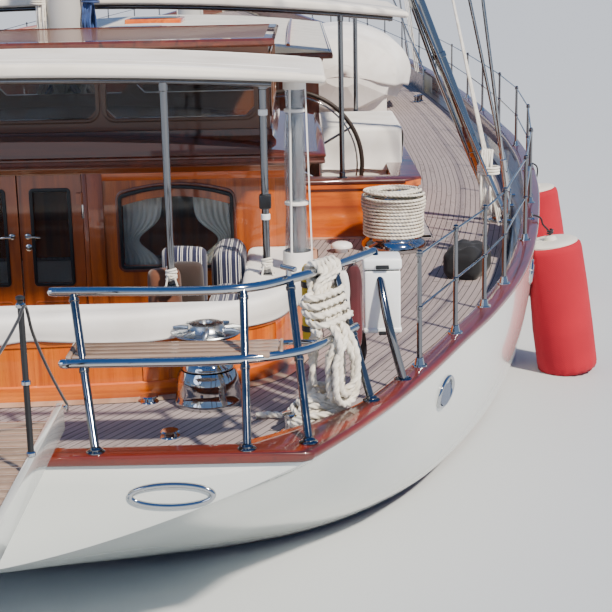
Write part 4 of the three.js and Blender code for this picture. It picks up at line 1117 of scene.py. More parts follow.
def makePushpits():
    row = pushpitRows
    for name, side in (("port", 1), ("starboard", -1)):
        parts, posts = [], []

        def across(p, z=None):
            return Vector((p[0], side * p[1], p[2] if z is None else z))

        for foot, head in row["posts"]:
            low, high = across(foot, capTop(foot[0])), across(head, 2136)
            posts += [rod(low, high, row["post"], 16), collar(low, 52, 16), collar(low + upBy(10), 34, 22)]
            aim = (high - low).normalized()
            for z in (2094, 1748):
                at = low + (high - low) * (z - low.z) / (high.z - low.z)
                posts.append(rod(at - aim * 12, at + aim * 14, 29, 16, edge=4))
        for z, course in row["rails"]:
            line = smoothPath([across(p, z) for p in course], 60)
            parts.append(tube(line, row["rail"], 18))
            for tip, back in ((line[0], line[1]), (line[-1], line[-2])):
                along = (tip - back).normalized()
                parts += [tube([tip, tip + along * 16, tip + along * 27], [27, 24, 8], 18),
                          rod(tip - along * 26, tip - along * 14, 29, 18, edge=3)]
        parts.append(tube(smoothPath([across(p) for p in row["seat"]], 26), 16, 12))
        leg = smoothPath([across(p) for p in row["leg"]], 40)
        posts += [tube(leg, row["rail"], 18), collar(leg[-1] - upBy(6), 56, 18)]
        # the fitting that stands on the top rail, and the slides under the seat
        knob = across((716, 2104), 2140)
        parts += [rod(knob + upBy(10), knob + upBy(66), 17, 14, edge=4),
                  rod(knob + Vector((-46, 40 * side, 66)), knob + Vector((46, -40 * side, 66)), 17, 14, edge=5)]
        parts += [rod((280, side * y, 1782), (600, side * y, 1782), 10, 10) for y in (980, 1420, 1860)]
        makePiece("pushpit_rails_" + name, parts, chrome, replaces=("pushpit_" + name,), sharp=32)
        # the posts take the darker copy of the rails' steel, its darkness a painted reflection of dark water
        makePiece("pushpit_posts_" + name, posts, postSteelPaintedDark, sharp=32)
        slats = []
        for k in range(4):
            x, ease = 300 + k * 73.5, (70, 22, 6, 22)[k]
            slats.append(block((x, side * 900, 1790), (x + 68, side * (2064 - ease), 1822), 8, 2))
        ends = [block((292, side * 866, 1788), (598, side * 896, 1826), 9, 2),
                block((352, side * 2044, 1788), (590, side * 2068, 1826), 12, 3)]
        makePiece("stern_seat_slats_" + name, slats, seatTeak)
        makePiece("stern_seat_ends_" + name, ends, seatTeakX)


def windowOutline(low, high, z0, z1, ease=20, rise=0, grow=0, steps=6):
    # a window in the (across, up) plane: eased corners and, if asked, an arched head
    low, high, z0, z1 = low - grow, high + grow, z0 - grow, z1 + grow
    ease = max(ease + grow, 1)
    line = []
    for cx, cz, start in ((high - ease, z0 + ease, -90), (high - ease, z1 - ease, 0),
                          (low + ease, z1 - ease, 90), (low + ease, z0 + ease, 180)):
        for k in range(steps + 1):
            a = math.radians(start + 90 * k / steps)
            line.append([cx + ease * math.cos(a), cz + ease * math.sin(a)])
        if start == 0 and rise:
            for k in range(1, 12):
                line.append([high - ease + (low - high + 2 * ease) * k / 12, z1])
    middle, half = (low + high) / 2, (high - low) / 2
    for p in line:
        if rise and p[1] > z1 - ease - 1:
            p[1] += rise * (1 - ((p[0] - middle) / half) ** 2)
    return [tuple(p) for p in line]


def upright(outline, at, along):
    # stands an outline on a wall; 'along' is the axis that the wall faces
    return [(at, y, z) if along == "x" else (y, at, z) for y, z in outline]


def facing(low, high, z0, z1, at, thick, edge, ease=20, rise=0, along="x", inset=0):
    # a flat frame round a window
    outer = upright(windowOutline(low, high, z0, z1, ease, rise, edge), at, along)
    inner = upright(windowOutline(low, high, z0, z1, ease, rise, -inset), at, along)
    return easeEdges(plate(outer, (thick, 0, 0) if along == "x" else (0, thick, 0), inner), 4, 50, 2)


def sideFace(side, y, thick):
    return side * y - (0 if side > 0 else thick)


def pane(low, high, z0, z1, at, thick, ease=20, rise=0, along="x", grow=0):
    outline = upright(windowOutline(low, high, z0, z1, ease, rise, grow), at, along)
    return plate(outline, (thick, 0, 0) if along == "x" else (0, thick, 0))


def moulding(course, profile, closed=False):
    # sweeps a section (out, up) along a level course of (x, y) points; out is to the right of the run
    pts = [Vector((p[0], p[1])) for p in course]
    rings = []
    count = len(pts)
    for i, p in enumerate(pts):
        a = pts[i - 1] if closed or i else pts[0]
        b = pts[(i + 1) % count] if closed or i < count - 1 else pts[-1]
        d1 = (p - a).normalized() if (p - a).length > 0 else (b - p).normalized()
        d2 = (b - p).normalized() if (b - p).length > 0 else d1
        n1, n2 = Vector((d1.y, -d1.x)), Vector((d2.y, -d2.x))
        n = (n1 + n2).normalized()
        n = n / max(n.dot(n1), 0.4)
        rings.append([(p.x + n.x * o, p.y + n.y * o, u) for o, u in profile])
    return loft(rings, closed)


def makeAftHouse():
    paint(aft_house_walls=orangeWall, aft_house_roof=brownY, deckhouse_screen=taupe, aft_house_glass=clearGlass)
    front, window, screen = 3500, (1620, 2170), (2740, 3200)
    # rails and stiles that frame the panels on the aft wall
    parts = [block((front - 14, y0, z0), (front - 1, y1, z1), 5) for y0, y1 in ((540, 2196), (-2196, -540))
             for z0, z1 in ((2300, 2412), (1206, 1330))]
    makePiece("aft_house_rails", parts, orangeY)
    parts = []
    for side in (1, -1):
        for y0, y1 in ((540, 660), (2070, 2200)):
            parts.append(block((front - 16, side * y0, 1206), (front - 1, side * y1, 2412), 6))
        parts.append(block((front - 18, side * 504, 572), (front - 1, side * 540, 2400), 6))
    makePiece("aft_house_stiles", parts, orangeStile)
    parts = [block((front - 20, -545, 2384), (front - 1, 545, 2418), 6),
             block((front - 60, -545, 545), (front - 1, 545, 562), 5)]
    makePiece("aft_house_door_head", parts, brownY)
    # arched windows: black frame, pane and a varnished bead
    frames, beads, glazing = [], [], []
    for side in (1, -1):
        low, high = sorted((side * 790, side * 1640))
        frames.append(facing(low, high, *window, front - 19, 18, 16, 20, 70, inset=8))
        beads.append(facing(low - 16, high + 16, 1604, 2186, front - 12, 11, 22, 40, 72))
        glazing.append(pane(low, high, *window, front + 22, 8, 20, 70))
    makePiece("aft_window_frames", frames, blackPlastic)
    makePiece("aft_window_beads", beads, brownZ)
    makePiece("aft_window_panes", glazing, glass)
    # side windows of the house
    parts = []
    for side in (1, -1):
        parts += [facing(x, x + 850, *window, sideFace(side, 2200, 14), 14, 24, 90, 0, "y", 10)
                  for x in (3850, 4950)]
    makePiece("aft_house_side_frames", parts, blackPlastic)
    # stepped mouldings under and on the roof edge
    around = [(3340, 2350), (3340, -2350), (6040, -2350), (6040, 2350)]
    wall = [(3498, 2202), (3498, -2202), (6002, -2202), (6002, 2202)]
    parts = [moulding(around, [(-2, 2424), (12, 2426), (18, 2436), (12, 2448), (14, 2470), (24, 2480),
                               (24, 2492), (10, 2502), (-40, 2512), (-40, 2424)], True)]
    makePiece("aft_roof_edge", parts, brownX, sharp=30)
    parts = [moulding(wall, [(0, 2352), (12, 2356), (22, 2372), (50, 2392), (66, 2412), (66, 2418), (0, 2418)],
                      True)]
    makePiece("aft_roof_cove", parts, orangeCove, sharp=30)
    sill = [(3798, 1952), (3798, -1952), (5982, -1952), (5982, 1952)]
    parts = [moulding(sill, [(0, 2520), (44, 2530), (44, 2556), (30, 2572), (16, 2590), (14, 2640), (0, 2644)],
                      True)]
    makePiece("screen_sill", parts, brownX, sharp=30)
    # deckhouse windows: bronze-coloured frames, panes, and beads over the heads
    frames, glazing = [], []
    for y0, y1 in ((-1830, -680), (-600, 600), (680, 1830)):
        frames += [facing(y0, y1, *screen, x, 16, 30, 70) for x in (3782, 5982)]
        glazing += [pane(y0, y1, *screen, x, 8, 70, grow=2) for x in (3828, 5944)]
    for side in (1, -1):
        for x0, x1 in ((3930, 4850), (4930, 5850)):
            frames.append(facing(x0, x1, *screen, sideFace(side, 1950, 16), 16, 30, 70, 0, "y"))
            glazing.append(pane(x0, x1, *screen, side * 1915, 8, 70, 0, "y", 2))
    makePiece("screen_frames", frames, taupeDark)
    makePiece("screen_panes", glazing, clearGlass)
    top = [(3770, 1980), (3770, -1980), (6010, -1980), (6010, 1980)]
    parts = [moulding(top, [(-30, 3268), (0, 3272), (22, 3290), (22, 3318), (0, 3334), (-60, 3338),
                            (-60, 3268)], True)]
    makePiece("screen_cornice", parts, brownX, sharp=30)


def makeDoors():
    for name, side in (("port", 1), ("starboard", -1)):
        paint(**{"aft_door_" + name: orangeStile})
        body, face = "aft_door_" + name, 3512

        def at(out, y, z):
            return (face - out, side * y, z)

        (y0, y1), light = sorted((side * 110, side * 390)), (1500, 2230)
        parts = [facing(y0, y1, *light, face - 9, 9, 20, 14, inset=8)]
        makePiece("door_light_frame_" + name, parts, blackPlastic, body)
        makePiece("door_light_pane_" + name, [pane(y0, y1, *light, face + 20, 8, 14)], glass, body)
        panel = [block(at(8, 130, 700), at(-1, 372, 1330), 7, 2),
                 facing(y0 - 14, y1 + 14, 680, 1350, face - 6, 6, 12, 20)]
        makePiece("door_panel_" + name, panel, orangeStile, body)
        lever = [collar(at(0, 62, 1880), 26, 16, (-1, 0, 0)), rod(at(8, 62, 1880), at(52, 62, 1880), 9, 12),
                 tube(smoothPath([at(52, 56, 1880), at(54, 110, 1882), at(50, 165, 1874)], 10),
                      [11, 11, 10, 10, 9, 9, 9, 8, 8, 7, 5], 12)]
        if side < 0:
            lever += [collar(at(out, 64, 1790), radius, high, (-1, 0, 0)) for out, radius, high in
                      ((0, 27, 9), (6, 13, 12))]
        # hinge barrels
        lever += [rod((3488, side * 500, z - 4), (3488, side * 500, z + 108), 11.2, 14, edge=3)
                  for z in (722, 1225, 2018)]
        makePiece("door_fittings_" + name, lever, chrome, body)
    # a plain metal strip on the sole in front of the doors
    makePiece("door_sill", [block((3440, -505, 512), (3498, 505, 524), 4)], chrome)


def makeCurtains():
    # four curtains behind the arched panes, drawn to the sides and tied
    for name, y0, y1, outer in (
            ("curtain_starboard_outer", -1640, -1330, -1640), ("curtain_starboard_inner", -1100, -790, -790),
            ("curtain_port_inner", 790, 1100, 790), ("curtain_port_outer", 1330, 1640, 1640)):
        rows, cols = 22, 44
        points, width = [], y1 - y0
        for i in range(rows + 1):
            z = 2240 - (2240 - 1600) * i / rows
            t = i / rows
            gather = 1 - 0.55 * math.exp(-((t - 0.68) / 0.17) ** 2) - 0.12 * t
            for j in range(cols + 1):
                s = j / cols
                y = outer + (y0 + s * width - outer) * gather
                x = 3640 + 16 * math.sin(s * 40 + 2 * t) * (0.6 + 0.4 * gather) + 5 * math.sin(s * 13 + 6 * t)
                points.append((x, y, z))
        cloth = makeSheet(name, (points, gridFaces(rows, cols)), curtainCloth, 0.8, levels=0)


makePushpits()
makeAftHouse()
makeDoors()
makeCurtains()
print("stern rails and aft house made")


# canopies, their hoops and posts
canopyRows = [
    {"name": "aft", "x": (2150, 3780), "half": 2360, "z": 3120, "crown": 80, "deep": 46, "edge": 28,
     "hoops": (2250, 2550, 3700), "reach": 2000, "posts": ((2250, 1280, 1761), (2550, 1930, 1761))},
    {"name": "helm", "x": (6650, 9700), "half": 3250, "z": 3330, "crown": 190, "deep": 55, "edge": 30,
     "hoops": (6745, 9500), "reach": 3100, "posts": ((6745, 2590, 1779), (9500, 2840, 801))}]


def crownAt(c, y):
    return c["z"] + c["crown"] * (1 - (y / c["half"]) ** 2)


def canopySkin(c):
    # thick at the middle, thin at its sides, with the edges rolled and the top slack between hoops
    edge, end = c["edge"], c["half"] - c["edge"]
    ys = [-end + 2 * end * i / 40 for i in range(41)]
    arc = [math.radians(-90 + 15 * i) for i in range(13)]
    x0, x1 = c["x"]
    course = [(x0 + edge * (1 - math.cos(math.radians(a))), edge * (1 - math.sin(math.radians(a))))
              for a in (8, 20, 35, 50, 65, 80, 90)]
    inside = [x0 + 90 + (x1 - x0 - 180) * i / 24 for i in range(25)]
    rings = []
    for x, s in course + [(x, 0) for x in inside] + [(x0 + x1 - x, s) for x, s in reversed(course)]:
        slack = 12 * min(min(abs(x - h) for h in c["hoops"]) / 300, 1) ** 2 if s == 0 else 0
        r, middle = edge - s, crownAt(c, end) + edge
        upper = [(x, y, crownAt(c, y) + 2 * (c["deep"] + (edge - c["deep"]) * (y / end) ** 2) - s
                  - slack * (1 - (y / end) ** 2)) for y in reversed(ys[1:-1])]
        lower = [(x, y, crownAt(c, y) + s) for y in ys[1:-1]]
        right = [(x, end + r * math.cos(a), middle + r * math.sin(a)) for a in arc]
        left = [(x, -end - r * math.cos(a), middle - r * math.sin(a)) for a in arc]
        rings.append(lower + right + upper + left)
    return loft(rings)


def makeCanopies():
    for c in canopyRows:
        makePiece(c["name"] + "_canopy_cloth", [canopySkin(c)], creamCanvas,
                  replaces=(c["name"] + "_canopy",), sharp=60)
        # welts along the hoops and a bolt rope at the front and back edges
        welts = []
        for x in (*c["hoops"], c["x"][0] + 60, c["x"][1] - 60):
            ys = [(-0.93 + 1.86 * i / 36) * c["half"] for i in range(37)]
            line = [(y, crownAt(c, y) + 2 * (c["deep"] + (c["edge"] - c["deep"]) * (y / c["half"]) ** 2) + 1)
                    for y in ys]
            welts.append(loft([[(x + dx, y, z + dz) for dx, dz in ((-22, -4), (-16, 2), (16, 2), (22, -4))]
                               for y, z in line]))
        makePiece(c["name"] + "_canopy_welts", welts, whiteCanvas, sharp=60)
        parts = []
        for x in c["hoops"]:
            line = [(x, y, crownAt(c, y) - 24) for y in [(-1 + i / 20) * c["reach"] for i in range(41)]]
            parts.append(tube(line, 22, 14))
        foot, last = c["hoops"][0], c["hoops"][-1]
        for side in (1, -1):
            y = side * (c["reach"] - 30)
            parts.append(rod((foot, y, crownAt(c, y) - 34), (last, y, crownAt(c, y) - 34), 18, 14))
            for x, py, low in c["posts"]:
                top, y = crownAt(c, py) - 30, side * py
                parts += [rod((x, y, low), (x, y, top), 26, 20), collar((x, y, low), 52, 14),
                          rod((x, y, low + 8), (x, y, low + 60), 31, 20, edge=5),
                          rod((x, y, top - 60), (x, y, top + 4), 31, 20, edge=5)]
        makePiece(c["name"] + "_canopy_posts", parts, postSteelPaintedDark,
                  replaces=(c["name"] + "_canopy_frame",))
    ties = []
    for x, y in ((2250, 1280), (2550, 1930)):
        for y in (y, -y):
            wound = [onRing((x, y), 33 + 3 * math.sin(0.7 * k), k * 0.5,
                            1800 + 1.25 * k + 4 * math.sin(k * 0.9)) for k in range(66)]
            ties.append(tube(wound, 8.5, 8))
            for dy, dz in ((-46, -52), (38, -66), (14, 30)):
                ties.append(tube([(x - 34, y, 1816), (x - 54, y + dy * 0.6, 1824),
                                  (x - 62, y + dy, 1816 + dz)], 7, 8))
    makePiece("post_lashings", ties, thinLine)
    # white straps and a black clamp on both rear posts
    straps = [turned([(29, 0), (33, 4), (33, 38), (29, 42)], (2550, y, z), 20) for y in (-1930, 1930)
              for z in (2150, 2880)]
    makePiece("post_straps", straps, whitePlastic)
    makePiece("post_clamps", [block((2505, y - 42, 2230), (2596, y + 42, 2330), 12) for y in (1930, -1930)],
              blackPlastic)


rollRow = {"at": (2720, -2150), "foot": 1766, "tall": 1342, "rows": 44, "cols": 132}


def makeSideCurtain():
    # a clear window panel, gathered into a crumpled roll and tied to hang below the canopy edge
    row, points = rollRow, []
    (x0, y0), foot, tall = row["at"], row["foot"], row["tall"]
    for i in range(row["rows"] + 1):
        t = i / row["rows"]
        waist = 1 - 0.16 * math.exp(-((t - 0.35) / 0.08) ** 2) - 0.14 * math.exp(-((t - 0.84) / 0.07) ** 2)
        for j in range(row["cols"] + 1):
            a = 2.6 * 2 * math.pi * j / row["cols"]
            r = (44 + 52 * j / row["cols"]) * (1 - 0.26 * t) * waist
            r += 4.5 * math.sin(3 * a + 5 * t) + 4 * math.sin(8 * a - 7 * t) + 2.4 * math.sin(13 * a + 16 * t)
            points.append(onRing((x0, y0), r, a, foot + tall * t))
    roll = makeSheet("side_curtain_vinyl", (points, gridFaces(row["rows"], row["cols"])), vinyl, 0.7,
                     replaces=("side_curtain",), levels=0)
    parts = []
    for t in (0.35, 0.84):
        r, z = (96 - 25 * t) * 0.87 + 8, foot + tall * t - 11
        parts.append(turned([(r, 0), (r + 4, 3), (r + 4, 19), (r, 22)], (x0, y0, z), 32))
    # the panel's sewn canvas edges: down both sides and across its foot and head
    for a, wide in ((4.5, 26), (2.7, 9)):
        c, s = math.cos(a), math.sin(a)
        course = [(x0 + (106 - 30 * t) * c, y0 + (106 - 30 * t) * s, foot + tall * t)
                  for t in [i / 16 for i in range(17)]]
        parts.append(loft([[(x - wide * s, y + wide * c, z), (x + 5 * c, y + 5 * s, z),
                            (x + wide * s, y - wide * c, z), (x - 5 * c, y - 5 * s, z)] for x, y, z in course]))
    for low, high in ((1762, 1890), (3040, 3112)):
        r0, r1 = [110 - 30 * (z - foot) / tall for z in (low, high)]
        parts.append(turned([(r0 - 5, low), (r0, low + 2), (r1, high - 2), (r1 - 5, high), (r1 - 7, high - 2),
                             (r0 - 8, low + 2)], (x0, y0, 0), 40))
    makePiece("side_curtain_straps", parts, whiteCanvas)


# cushions
def pillow(low, high, puff=14, crush=0.0, seed=1, cells=26):
    # a boxed cushion: rounded walls, a soft crown and small dents
    random.seed(seed)
    low, high = Vector(low), Vector(high)
    size, middle = high - low, (high + low) / 2
    waves = [(random.uniform(1, 3), random.uniform(1, 3), random.uniform(0, 6.28)) for _ in range(5)]
    bm = bmesh.new()
    bmesh.ops.create_cube(bm, size=2)
    bmesh.ops.subdivide_edges(bm, edges=bm.edges[:], cuts=cells, use_grid_fill=True)
    radius = min(size) * 0.32
    for v in bm.verts:
        p = Vector(v.co)
        q = Vector([middle[k] + p[k] * size[k] / 2 for k in range(3)])
        core = Vector([min(max(q[k], low[k] + radius), high[k] - radius) for k in range(3)])
        off = q - core
        if off.length > 1e-6:
            q = core + off.normalized() * radius
        bulge = 1.0
        thin = min(range(3), key=lambda k: size[k])
        for k in range(3):
            if k != thin:
                bulge *= max(1 - p[k] ** 4, 0)
        wrinkles = sum(math.sin(3.1 * f * p[(thin + 1) % 3] + 2.7 * g * p[(thin + 2) % 3] + h)
                       for f, g, h in waves) / 5
        q[thin] += (puff * bulge + crush * wrinkles * bulge) * (1 if p[thin] > 0 else -1)
        v.co = q
    return takeMesh(bm)


swellRow = {"pressure": 4.0, "quality": 4, "frames": 20}


def swell(piece, voxel, cap):
    # air pressure on a cloth skin rounds the cushion; no point moves further than the cap, in mm
    scene = bpy.context.scene
    remesh = piece.modifiers.new("skin", "REMESH")
    remesh.mode, remesh.voxel_size = "VOXEL", voxel * 0.001
    skin = evaluatedMesh(piece)
    piece.modifiers.clear()
    for slot in piece.data.materials:
        if slot.name not in skin.materials:
            skin.materials.append(slot)
    piece.data = skin
    before = [v.co.copy() for v in skin.vertices]
    cloth = piece.modifiers.new("cloth", "CLOTH")
    cloth.settings.use_pressure, cloth.settings.uniform_pressure_force = True, swellRow["pressure"]
    cloth.settings.effector_weights.gravity = 0.0
    cloth.settings.quality = swellRow["quality"]
    cloth.point_cache.frame_start, cloth.point_cache.frame_end = 1, swellRow["frames"]
    for frameNumber in range(1, swellRow["frames"] + 1):
        scene.frame_set(frameNumber)
    swelled = piece.evaluated_get(bpy.context.evaluated_depsgraph_get()).data
    after = [v.co.copy() for v in swelled.vertices]
    piece.modifiers.clear()
    scene.frame_set(1)
    for v, old, new in zip(skin.vertices, before, after):
        move = new - old
        v.co = old + move * min(1.0, cap * 0.001 / max(move.length, 1e-9))
    skin.shade_smooth()
    finer = piece.modifiers.new("finer", "SUBSURF")
    finer.levels = finer.render_levels = 1
    smooth = evaluatedMesh(piece)
    piece.modifiers.clear()
    piece.data = smooth
    smooth.shade_smooth()


def makePadded(name, made, material, replaces=(), body="root", voxel=0, cap=7):
    piece = makePiece(name, [made], material, body, replaces, 80)
    if voxel:
        swell(piece, voxel, cap)
    return piece


def piping(low, high, level, radius=7, ease=40):
    # a cord sewn round a cushion's edge
    outline = windowOutline(low[0], high[0], low[1], high[1], ease)
    return tube([(x, y, level) for x, y in outline], radius, 8, True)


def makeCushions():
    # the bench squabs, and the backs that stand on them along the three sides of the well
    base, top, trims = 901, 1028, []
    for name, x0, y0, x1, y1 in (("aft", 1812, -1112, 2316, 1112), ("starboard", 1812, -1748, 3476, -1124),
                                 ("port", 1812, 1124, 3476, 1748)):
        name = "bench_squab_" + name
        makePadded(name, pillow((x0, y0, base), (x1, y1, top - 8), 9, 4, len(name)), burgundy,
                   () if trims else ("bench_cushion",))
        trims += [piping((x0 + 8, y0 + 8), (x1 - 8, y1 - 8), base + 96)]
    makePiece("bench_squab_piping", trims, orangeCloth)
    # name, the two corners of the plan, height, cloth, seed and the size of the skin's cells
    for name, x0, y0, x1, y1, top, cloth, seed, voxel in (
            ("starboard_forward", 2700, -1744, 3296, -1540, 1900, stripeSide, 3, 13),
            ("starboard_aft", 2040, -1744, 2680, -1540, 1690, stripeSide, 5, 13),
            ("port_forward", 2700, 1540, 3296, 1744, 1900, stripeSide, 7, 13),
            ("port_aft", 2040, 1540, 2680, 1744, 1690, stripeSide, 9, 13),
            ("aft_starboard", 1820, -1740, 2014, -1336, 1680, stripeAft, 11, 13),
            ("aft_port", 1820, 1336, 2014, 1740, 1680, stripeAft, 13, 13),
            ("aft_middle", 1820, -1326, 2014, 1326, 1660, stripeAft, 15, 18)):
        made = pillow((x0, y0, 1034), (x1, y1, top), 10, 7, seed)
        makePadded("back_" + name, made, cloth, ("back_cushion",) if seed == 3 else (),
                   voxel=voxel)
    # loose cushions leaning in the starboard corner, and a mirrored pair to port
    for name, x0, y0, x1, y1, top, cloth, seed, turn, slot in (
            ("striped", 2640, -1500, 2800, -1168, 1936, stripeAft, 21, -16, "striped_cloth"),
            ("brown", 2440, -1480, 2580, -1250, 1868, darkCloth, 23, -10, "burgundy_cloth"),
            ("orange", 2330, -1330, 2460, -1100, 1850, tanCloth, 25, 14, "burgundy_cloth")):
        made = moved(pillow((x0, y0, 1034), (x1, y1, top), 26, 12, seed, 22), (0, 0, 0), turn,
                     ((x0 + x1) / 2, (y0 + y1) / 2, 0))
        for ending, side in (("starboard", 1), ("port", -1)):
            points = [(p[0], side * p[1], p[2]) for p in made[0]]
            makePadded("loose_" + name + "_" + ending, (points, made[1]), cloth, voxel=12)


makeCanopies()
makeSideCurtain()
makeCushions()
print("canopies and cushions made")


# helm cockpit
def makeHelm():
    paint(helm_coaming=orangeY, helm_settee=burgundy)
    x0, x1, half, corner = 6620, 9690, 3350, 160
    plan = [(x1, half), (x0 + corner, half), (x0, half - corner), (x0, -half + corner), (x0 + corner, -half),
            (x1, -half)]
    # cap: a rounded moulding all round, in darker wood, with flat metal corners
    cap = moulding(plan, [(-262, 1750), (-262, 1772), (-256, 1778), (20, 1778), (30, 1770), (34, 1752),
                          (30, 1734), (20, 1726), (2, 1724), (0, 1750)])
    makePiece("helm_coaming_cap", [cap], brownY, sharp=40)
    joints = [block((x - 5, side * (half - 1), 1206), (x + 5, side * (half + 1.5), 1722), 0) for side in (1, -1)
              for x in (7350, 8150, 8950)]
    joints += [block((x0 - 1.5, y - 5, 1206), (x0 + 1, y + 5, 1722), 0)
               for y in (-3150, -2100, -1050, 0, 1050, 2100, 3150)]
    makePiece("helm_coaming_joints", joints, brownY)
    brackets = []
    for side in (1, -1):
        for z in (1240, 1560):
            brackets.append(block((x0 + 60, side * (half + 1), z), (x0 + 240, side * (half + 17), z + 46), 6))
            brackets.append(block((x0 - 17, side * (half - 330), z), (x0 - 1, side * (half - 150), z + 46), 6))
    makePiece("helm_coaming_brackets", brackets, chrome)
    for name, side in (("port", 1), ("starboard", -1)):
        makeSeatCover(name, side)
        makeWheel(name, side)
        makePedestal(name, side)
        paint(**{"seat_cover_" + name: creamCanvas, "pedestal_" + name: whitePlastic})


def makeSeatCover(name, side):
    # a fitted cloth over the seat: flat top with the lines of the cushions showing through
    x0, x1, y0, y1, top = 7738, 9362, 2388, 3262, 2142
    rows, cols = 84, 60
    points = []
    hang = wrinkle(17 + side, 700)
    for i in range(rows + 1):
        s = -0.34 + 1.68 * i / rows
        for j in range(cols + 1):
            t = -0.42 + 1.84 * j / cols
            x = x0 + (x1 - x0) * min(max(s, 0), 1)
            y = y0 + (y1 - y0) * min(max(t, 0), 1)
            fallX, fallY = max(-s, s - 1, 0) * 1624, max(-t, t - 1, 0) * 874
            drop = fallX + (min(fallY, 300) if t > 1 else fallY)
            inside = min(s, 1 - s, t, 1 - t)
            z = top + (14 if inside > 0 else 0) * min(inside * 30, 1)
            if inside > 0.02:
                z -= 20 * max(0, 1 - abs(((x - x0) / 406) % 1 - 0.5) / 0.035) * min(inside * 20, 1)
            z -= min(drop, 430 + 20 * hang(x + y))
            swell = 10 * math.sin(drop / 60) * (1 if drop > 30 else 0) + 7 * hang(2 * (x + y)) * min(drop / 300, 1)
            lean = min(drop * 0.04, 12)
            x += (swell if s > 1 else -swell if s < 0 else 0) + (math.copysign(lean, s - 0.5) if fallX else 0)
            y += (swell if t > 1 else -swell if t < 0 else 0) + (math.copysign(lean, t - 0.5) if fallY else 0)
            points.append((x, side * y, z))
    faces, grid = [], gridFaces(rows, cols)
    for i in range(rows):
        for j in range(cols):
            s, t = -0.34 + 1.68 * (i + 0.5) / rows, -0.42 + 1.84 * (j + 0.5) / cols
            if 0 <= s <= 1 or 0 <= t <= 1:
                faces.append(grid[i * cols + j])
    points, faces = keepUsed(points, faces)
    cover = makeSheet("seat_cover_cloth_" + name, (points, faces), whiteCanvas, 1.2, levels=0)


def keepUsed(points, faces):
    used = sorted({i for f in faces for i in f})
    place = {v: k for k, v in enumerate(used)}
    return [points[i] for i in used], [tuple(place[i] for i in f) for f in faces]


def makeWheel(name, side):
    at = Vector((7250, side * 2060, 1850))
    body = "wheel_" + name
    parts = [tube([at + Vector((8, 700 * math.cos(t), 700 * math.sin(t))) for t in circle(90)], 9, 10, True)]
    for k in range(6):
        a = math.pi * (k + 0.5) / 3
        aim = Vector((0, math.cos(a), math.sin(a)))
        parts.append(tube([at + aim * 50, at + aim * 300, at + aim * 740], [17, 14, 12], 12))
    parts += [turned([(70, -45), (74, -30), (74, 20), (58, 38)], at, 32, (1, 0, 0)),
              turned([(30, -62), (36, -54), (36, -44)], at, 24, (1, 0, 0))]
    makePiece("wheel_spokes_" + name, parts, stainless, body, ("wheel_" + name,))
    ring = [at + Vector((0, 750 * math.cos(t), 750 * math.sin(t))) for t in circle(120)]
    makePiece("wheel_rim_" + name, [tube(ring, 23, 14, True)], leather, body)


def makePedestal(name, side):
    y = side * 2060
    parts = [easeEdges(loft([[(7296, y - 146, z), (7574, y - 146, z), (7574, y + 146, z), (7296, y + 146, z)]
                             for z in (1860, 1974)]), 22, 50, 3),
             block((7290, y - 150, 804), (7580, y + 150, 850), 16)]
    makePiece("pedestal_trim_" + name, parts, whitePlastic)
    dome = [turned([(105, 0), (105, 40), (98, 52), (88, 60), (70, 92), (40, 112), (1, 118)],
                   (7440, y, 1972), 32)]
    makePiece("compass_" + name, dome, blackPlastic)
    dials = [turned([(44, 0), (44, 12), (36, 14)], (7292, y + d, 1700), 28, (-1, 0, 0)) for d in (-62, 62)]
    dials += [rod((7440, y + side * 148, 1500), (7440, y + side * 190, 1500), 14, 12, edge=3),
              rod((7440, y + side * 186, 1490), (7470, y + side * 196, 1640), 10, 12, edge=3)]
    makePiece("pedestal_dials_" + name, dials, blackPlastic)


# winches
def makeWinches():
    for name, side in (("port", 1), ("starboard", -1)):
        makeAftWinch(name, (1360, side * 1570, 0))
        makePrimaryWinch(name, side, (6000, side * 3050, 0))


def makeAftWinch(name, at):
    base = [turned([(215, 1202), (218, 1214), (214, 1236), (207, 1250), (203, 1300), (199, 1350), (192, 1392),
                    (172, 1429), (120, 1429)], at, 48)]
    base += [collar(onRing(at, 196, math.radians(a), 1228), 13, 14) for a in range(0, 360, 45)]
    makePiece("winch_base_" + name, base, chrome, replaces=("aft_winch_base_" + name,))
    body = "winch_drum_" + name
    drum = [turned([(150, 1432), (166, 1436), (166, 1446), (148, 1470), (132, 1500), (126, 1540), (126, 1580),
                    (138, 1612), (165, 1640), (205, 1650), (212, 1656), (150, 1662)], at, 48)]
    drum += [rod(onRing(at, 129, a, 1476), onRing(at, 127, a, 1612), 5, 6) for a in circle(24)]
    top = [turned([(222, 1664), (226, 1670), (222, 1676), (130, 1680), (112, 1700), (108, 1722), (84, 1727),
                   (44, 1727), (40, 1716), (1, 1716)], at, 48)]
    top += [tube([onRing(at, r, a, z) for r, z in ((112, 1682), (170, 1688), (224, 1680))], [15, 12, 8], 8)
            for a in circle(10)]
    arm = [(at[0] - out, at[1] + math.copysign(aside, at[1]), z) for out, aside, z in
           ((100, 0, 1700), (170, 20, 1712), (214, 10, 1690), (222, 0, 1650))]
    makePiece("winch_drum_chrome_" + name, drum, chrome, body, ("aft_winch_drum_" + name,))
    makePiece("winch_top_" + name, top, brushed, body)
    makePiece("winch_arm_" + name, [tube(smoothPath(arm, 12), 15, 10)], brushed, body)


